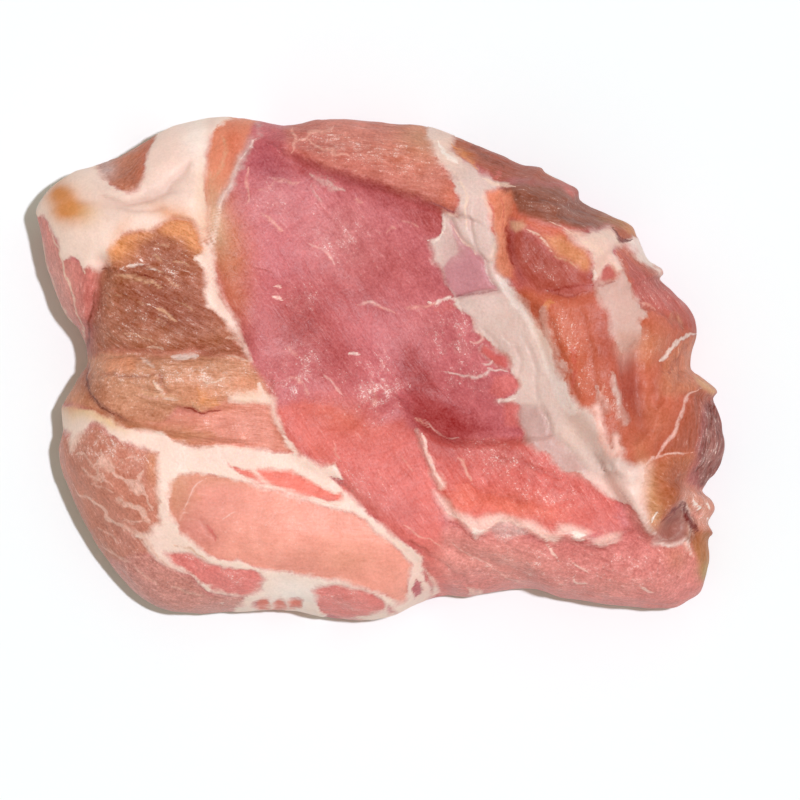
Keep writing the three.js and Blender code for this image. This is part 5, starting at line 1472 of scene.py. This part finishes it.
def rawPork():
    look = rawPorkLook
    material = bpy.data.materials.new("rawPork")
    material.use_nodes = True
    g = Graph(material.node_tree)
    objectPlace = g.add("ShaderNodeTexCoord").outputs["Object"]
    place = g.vectorMath("MULTIPLY", objectPlace, (1 / millimetre,) * 3)
    lean, fat, film, patch = (g.attribute(n) for n in ("leanTint", "fatTint", "filmTint", "patchTint"))
    fatEdge, filmEdge, dark = g.parts(g.attribute("edges").outputs["Vector"])
    fibreShare, speckShare, under = g.parts(g.attribute("look").outputs["Vector"])
    sparkle = lean.outputs["Alpha"]

    def noise(name):
        return g.noise(place, *look[name])

    broad, middling, fine = noise("broad"), noise("middling"), noise("fine")
    grain = g.attribute("grain")
    weights = g.add("ShaderNodeSeparateColor", {0: grain.outputs["Color"]}).outputs
    fibre = 0.0
    for share, direction in zip([*weights[:3], grain.outputs["Alpha"]], fibreDirections):
        turned = g.add("ShaderNodeVectorRotate", {"Vector": place, "Angle": math.radians(-direction)},
                       rotation_type="Z_AXIS").outputs[0]
        stretched = g.vectorMath("MULTIPLY", turned, look["threadStretch"])
        fibre = g.plus(fibre, g.noise(stretched, *look["threads"]), share)

    # lean: pale dashes along the fibres, partly connective tissue and partly painted highlights, then painted
    # sparkle and glints
    leanColour = lean.outputs["Color"]
    pale = g.mix(look["paleShare"], leanColour, look["paleTint"])
    dashes = g.times(g.step(fibre, *look["dashFibres"]), g.step(middling, *look["dashGroups"]),
                     fibreShare, look["dashes"])
    leanColour = g.mix(dashes, leanColour, pale)
    # painted glints and sparkle: pale and glint tints mixed into the colour where wet meat would catch the
    # light
    cluster = g.step(noise("clusters"), *look["clusterEdge"])
    glintChance = g.calc("MULTIPLY_ADD", speckShare, 0.15, sparkle, clamp=True)
    wanted = g.plus(look["glintLevel"], glintChance, look["glintReach"])
    glint = g.calc("SUBTRACT", g.sway(noise("glints"), fibre, 0.6), wanted)
    glint = g.times(g.step(glint, *look["glintEdge"]), cluster, g.step(glintChance, *look["glintChanceEdge"]))
    leanColour = g.mix(g.times(sparkle, cluster, look["sparkle"]), leanColour, pale)
    leanColour = g.mix(g.times(glint, look["glint"]), leanColour, look["glintTint"])

    def ragged(edge, coarse, shares):
        for waves, share in zip((coarse, fine, fibre), shares):
            edge = g.sway(edge, waves, share)
        return edge

    fatSoft = g.step(broad, *look["fatSoftness"])
    fatMask = g.step(ragged(fatEdge, noise("fatWaves"), look["fatEdge"]), g.times(fatSoft, -1), fatSoft)
    fatMask = g.times(fatMask, fat.outputs["Alpha"])
    filmSoft = g.step(noise("filmFading"), *look["filmSoftness"])
    filmMask = g.step(ragged(filmEdge, middling, look["filmEdge"]), g.times(filmSoft, -1), filmSoft)
    worn = g.times(g.step(middling, *look["filmWear"]), film.outputs["Alpha"])

    colour = g.mix(g.times(filmMask, worn), leanColour, film.outputs["Color"])
    colour = g.mix(fatMask, colour, fat.outputs["Color"])
    bare = g.calc("SUBTRACT", 1, patch.outputs["Alpha"])
    colour = g.vectorMath("MULTIPLY_ADD", colour, bare, patch.outputs["Color"])

    # strokes, broken and frayed
    across, apart, strength = g.parts(g.attribute("strokePlace").outputs["Vector"])
    coarseSway, fineSway = look["strokeEdge"]
    across = g.calc("ABSOLUTE", g.sway(across, middling, coarseSway))
    across = g.sway(across, fine, fineSway)
    firm = g.plus(-0.78, strength, 1.2)
    broken = g.step(noise("strokeGaps"), *look["gapEdge"], g.plus(-0.45, strength, 1.3), 1)
    strokeMask = g.times(g.step(across, firm, 1.4, 1, 0), g.step(apart, *look["strokeEnd"]), broken, strength)
    strokeTint = g.attribute("strokeTint").outputs["Vector"]
    colour = g.mix(strokeMask, colour, strokeTint)

    # mottling, partly random tone and partly a painted wet sheen that lifts it towards milky white rather
    # than from dark to bright, strongest on the lean
    shares = look["mottling"]
    swing = g.times(g.calc("SUBTRACT", fine, 0.5), g.calc("MULTIPLY_ADD", speckShare, *shares["fine"]))
    swing = g.sway(swing, middling, g.calc("MULTIPLY_ADD", speckShare, *shares["middling"]))
    swing = g.sway(swing, fibre, g.times(fibreShare, shares["threads"]))
    swing = g.sway(swing, broad, shares["broad"])
    swing = g.times(swing, g.plus(1, fatMask, look["calmFat"]))
    swing = g.plus(1, swing, g.plus(1, filmMask, look["calmFilm"]))
    sheenVeil = look["sheenVeil"]
    colour = g.vectorMath("MULTIPLY_ADD", colour, (1, 1, 1), (sheenVeil, sheenVeil, sheenVeil))
    colour = g.vectorMath("MULTIPLY_ADD", colour, swing, (-sheenVeil, -sheenVeil, -sheenVeil))
    colour = g.vectorMath("MAXIMUM", colour, look["darkest"])
    # painted shade: folds and creases pulled towards the fold tint
    shade = g.times(dark, look["foldShade"], g.step(fine, *look["foldUneven"]))
    colour = g.mix(shade, colour, g.mix(1.0, colour, look["foldShadeTint"], "MULTIPLY"))

    # underneath: a thin cover of fat that lets the lean show
    cap = noise("underCap")
    capColour = g.mix(g.step(cap, *look["underPatches"]), look["underLean"], look["underFat"])
    capColour = g.vectorMath("MULTIPLY", capColour, g.step(middling, *look["underUneven"]))
    colour = g.mix(g.step(g.sway(under, cap, 0.9), *look["underEdge"]), colour, capColour)

    relief = g.times(
        g.step(fibre, *look["fibreRidges"]), g.calc("MULTIPLY_ADD", fibreShare, *look["fibreRelief"]),
        g.calc("SUBTRACT", 1, fatMask), g.plus(1, filmMask, -0.8))
    lightness = g.parts(strokeTint)[1]
    ridge = g.times(g.calc("SUBTRACT", lightness, 0.2), strokeMask)
    for amount, key in ((ridge, "strokeRelief"), (middling, "middlingRelief"), (fine, "fineRelief"),
                        (filmMask, "filmRelief"), (fatMask, "fatRelief")):
        relief = g.plus(relief, amount, look[key])
    bump = g.add("ShaderNodeBump", {"Strength": look["bump"], "Distance": millimetre, "Height": relief})

    shader = g.add("ShaderNodeBsdfPrincipled", {
        "Base Color": colour, "Roughness": g.step(middling, *look["roughness"]),
        "Normal": bump.outputs[0], "IOR": look["refraction"],
        "Subsurface Weight": look["subsurface"], "Subsurface Scale": look["subsurfaceScale"],
        "Subsurface Radius": look["subsurfaceRadius"],
        "Coat Weight": look["coat"], "Coat Roughness": look["coatRoughness"],
        "Coat Normal": bump.outputs[0],
    })
    g.add("ShaderNodeOutputMaterial", {"Surface": shader.outputs[0]})
    return material


meat = buildMeat()
meat.data.materials.append(rawPork())
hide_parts("collar")
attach(meat, "root")
print("meat:", len(meat.data.polygons), "faces")


def buildFloor():
    half = stageSettings["floorSide"] / 2
    mesh = bpy.data.meshes.new("paleFloor")
    mesh.from_pydata([(-half, -half, 0), (half, -half, 0), (half, half, 0), (-half, half, 0)], [],
                     [(0, 1, 2, 3)])
    material = bpy.data.materials.new("paleFloor")
    material.use_nodes = True
    shader = material.node_tree.nodes["Principled BSDF"]
    shader.inputs["Base Color"].default_value = (*stageSettings["floorColour"], 1)
    shader.inputs["Roughness"].default_value = 0.9
    shader.inputs["Specular IOR Level"].default_value = 0.1
    mesh.materials.append(material)
    floor = bpy.data.objects.new("paleFloor", mesh)
    scene.collection.objects.link(floor)


def buildLight():
    world = bpy.data.worlds.new("softDaylight")
    world.use_nodes = True
    background = world.node_tree.nodes["Background"]
    background.inputs["Color"].default_value = (*stageSettings["skyColour"], 1)
    background.inputs["Strength"].default_value = stageSettings["skyStrength"]
    scene.world = world
    sun = bpy.data.lights.new("windowLight", "SUN")
    sun.energy = stageSettings["sunStrength"]
    sun.color = stageSettings["sunColour"]
    sun.angle = math.radians(stageSettings["sunSpread"])
    lamp = bpy.data.objects.new("windowLight", sun)
    lamp.rotation_euler = Vector(stageSettings["sunFrom"]).to_track_quat("Z", "Y").to_euler()
    scene.collection.objects.link(lamp)


def buildCamera():
    lens = bpy.data.cameras.new("fromAbove")
    lens.sensor_width = 36
    height = stageSettings["cameraHeight"]
    lens.lens = lens.sensor_width * (height - stageSettings["sharpHeight"]) / stageSettings["frameWidth"]
    lens.clip_end = 20
    camera = bpy.data.objects.new("fromAbove", lens)
    camera.location = (*stageSettings["frameMiddle"], height)
    scene.collection.objects.link(camera)
    scene.camera = camera


buildFloor()
buildLight()
buildCamera()
scene.view_settings.view_transform = "Standard"
print("stage: floor, daylight and camera")
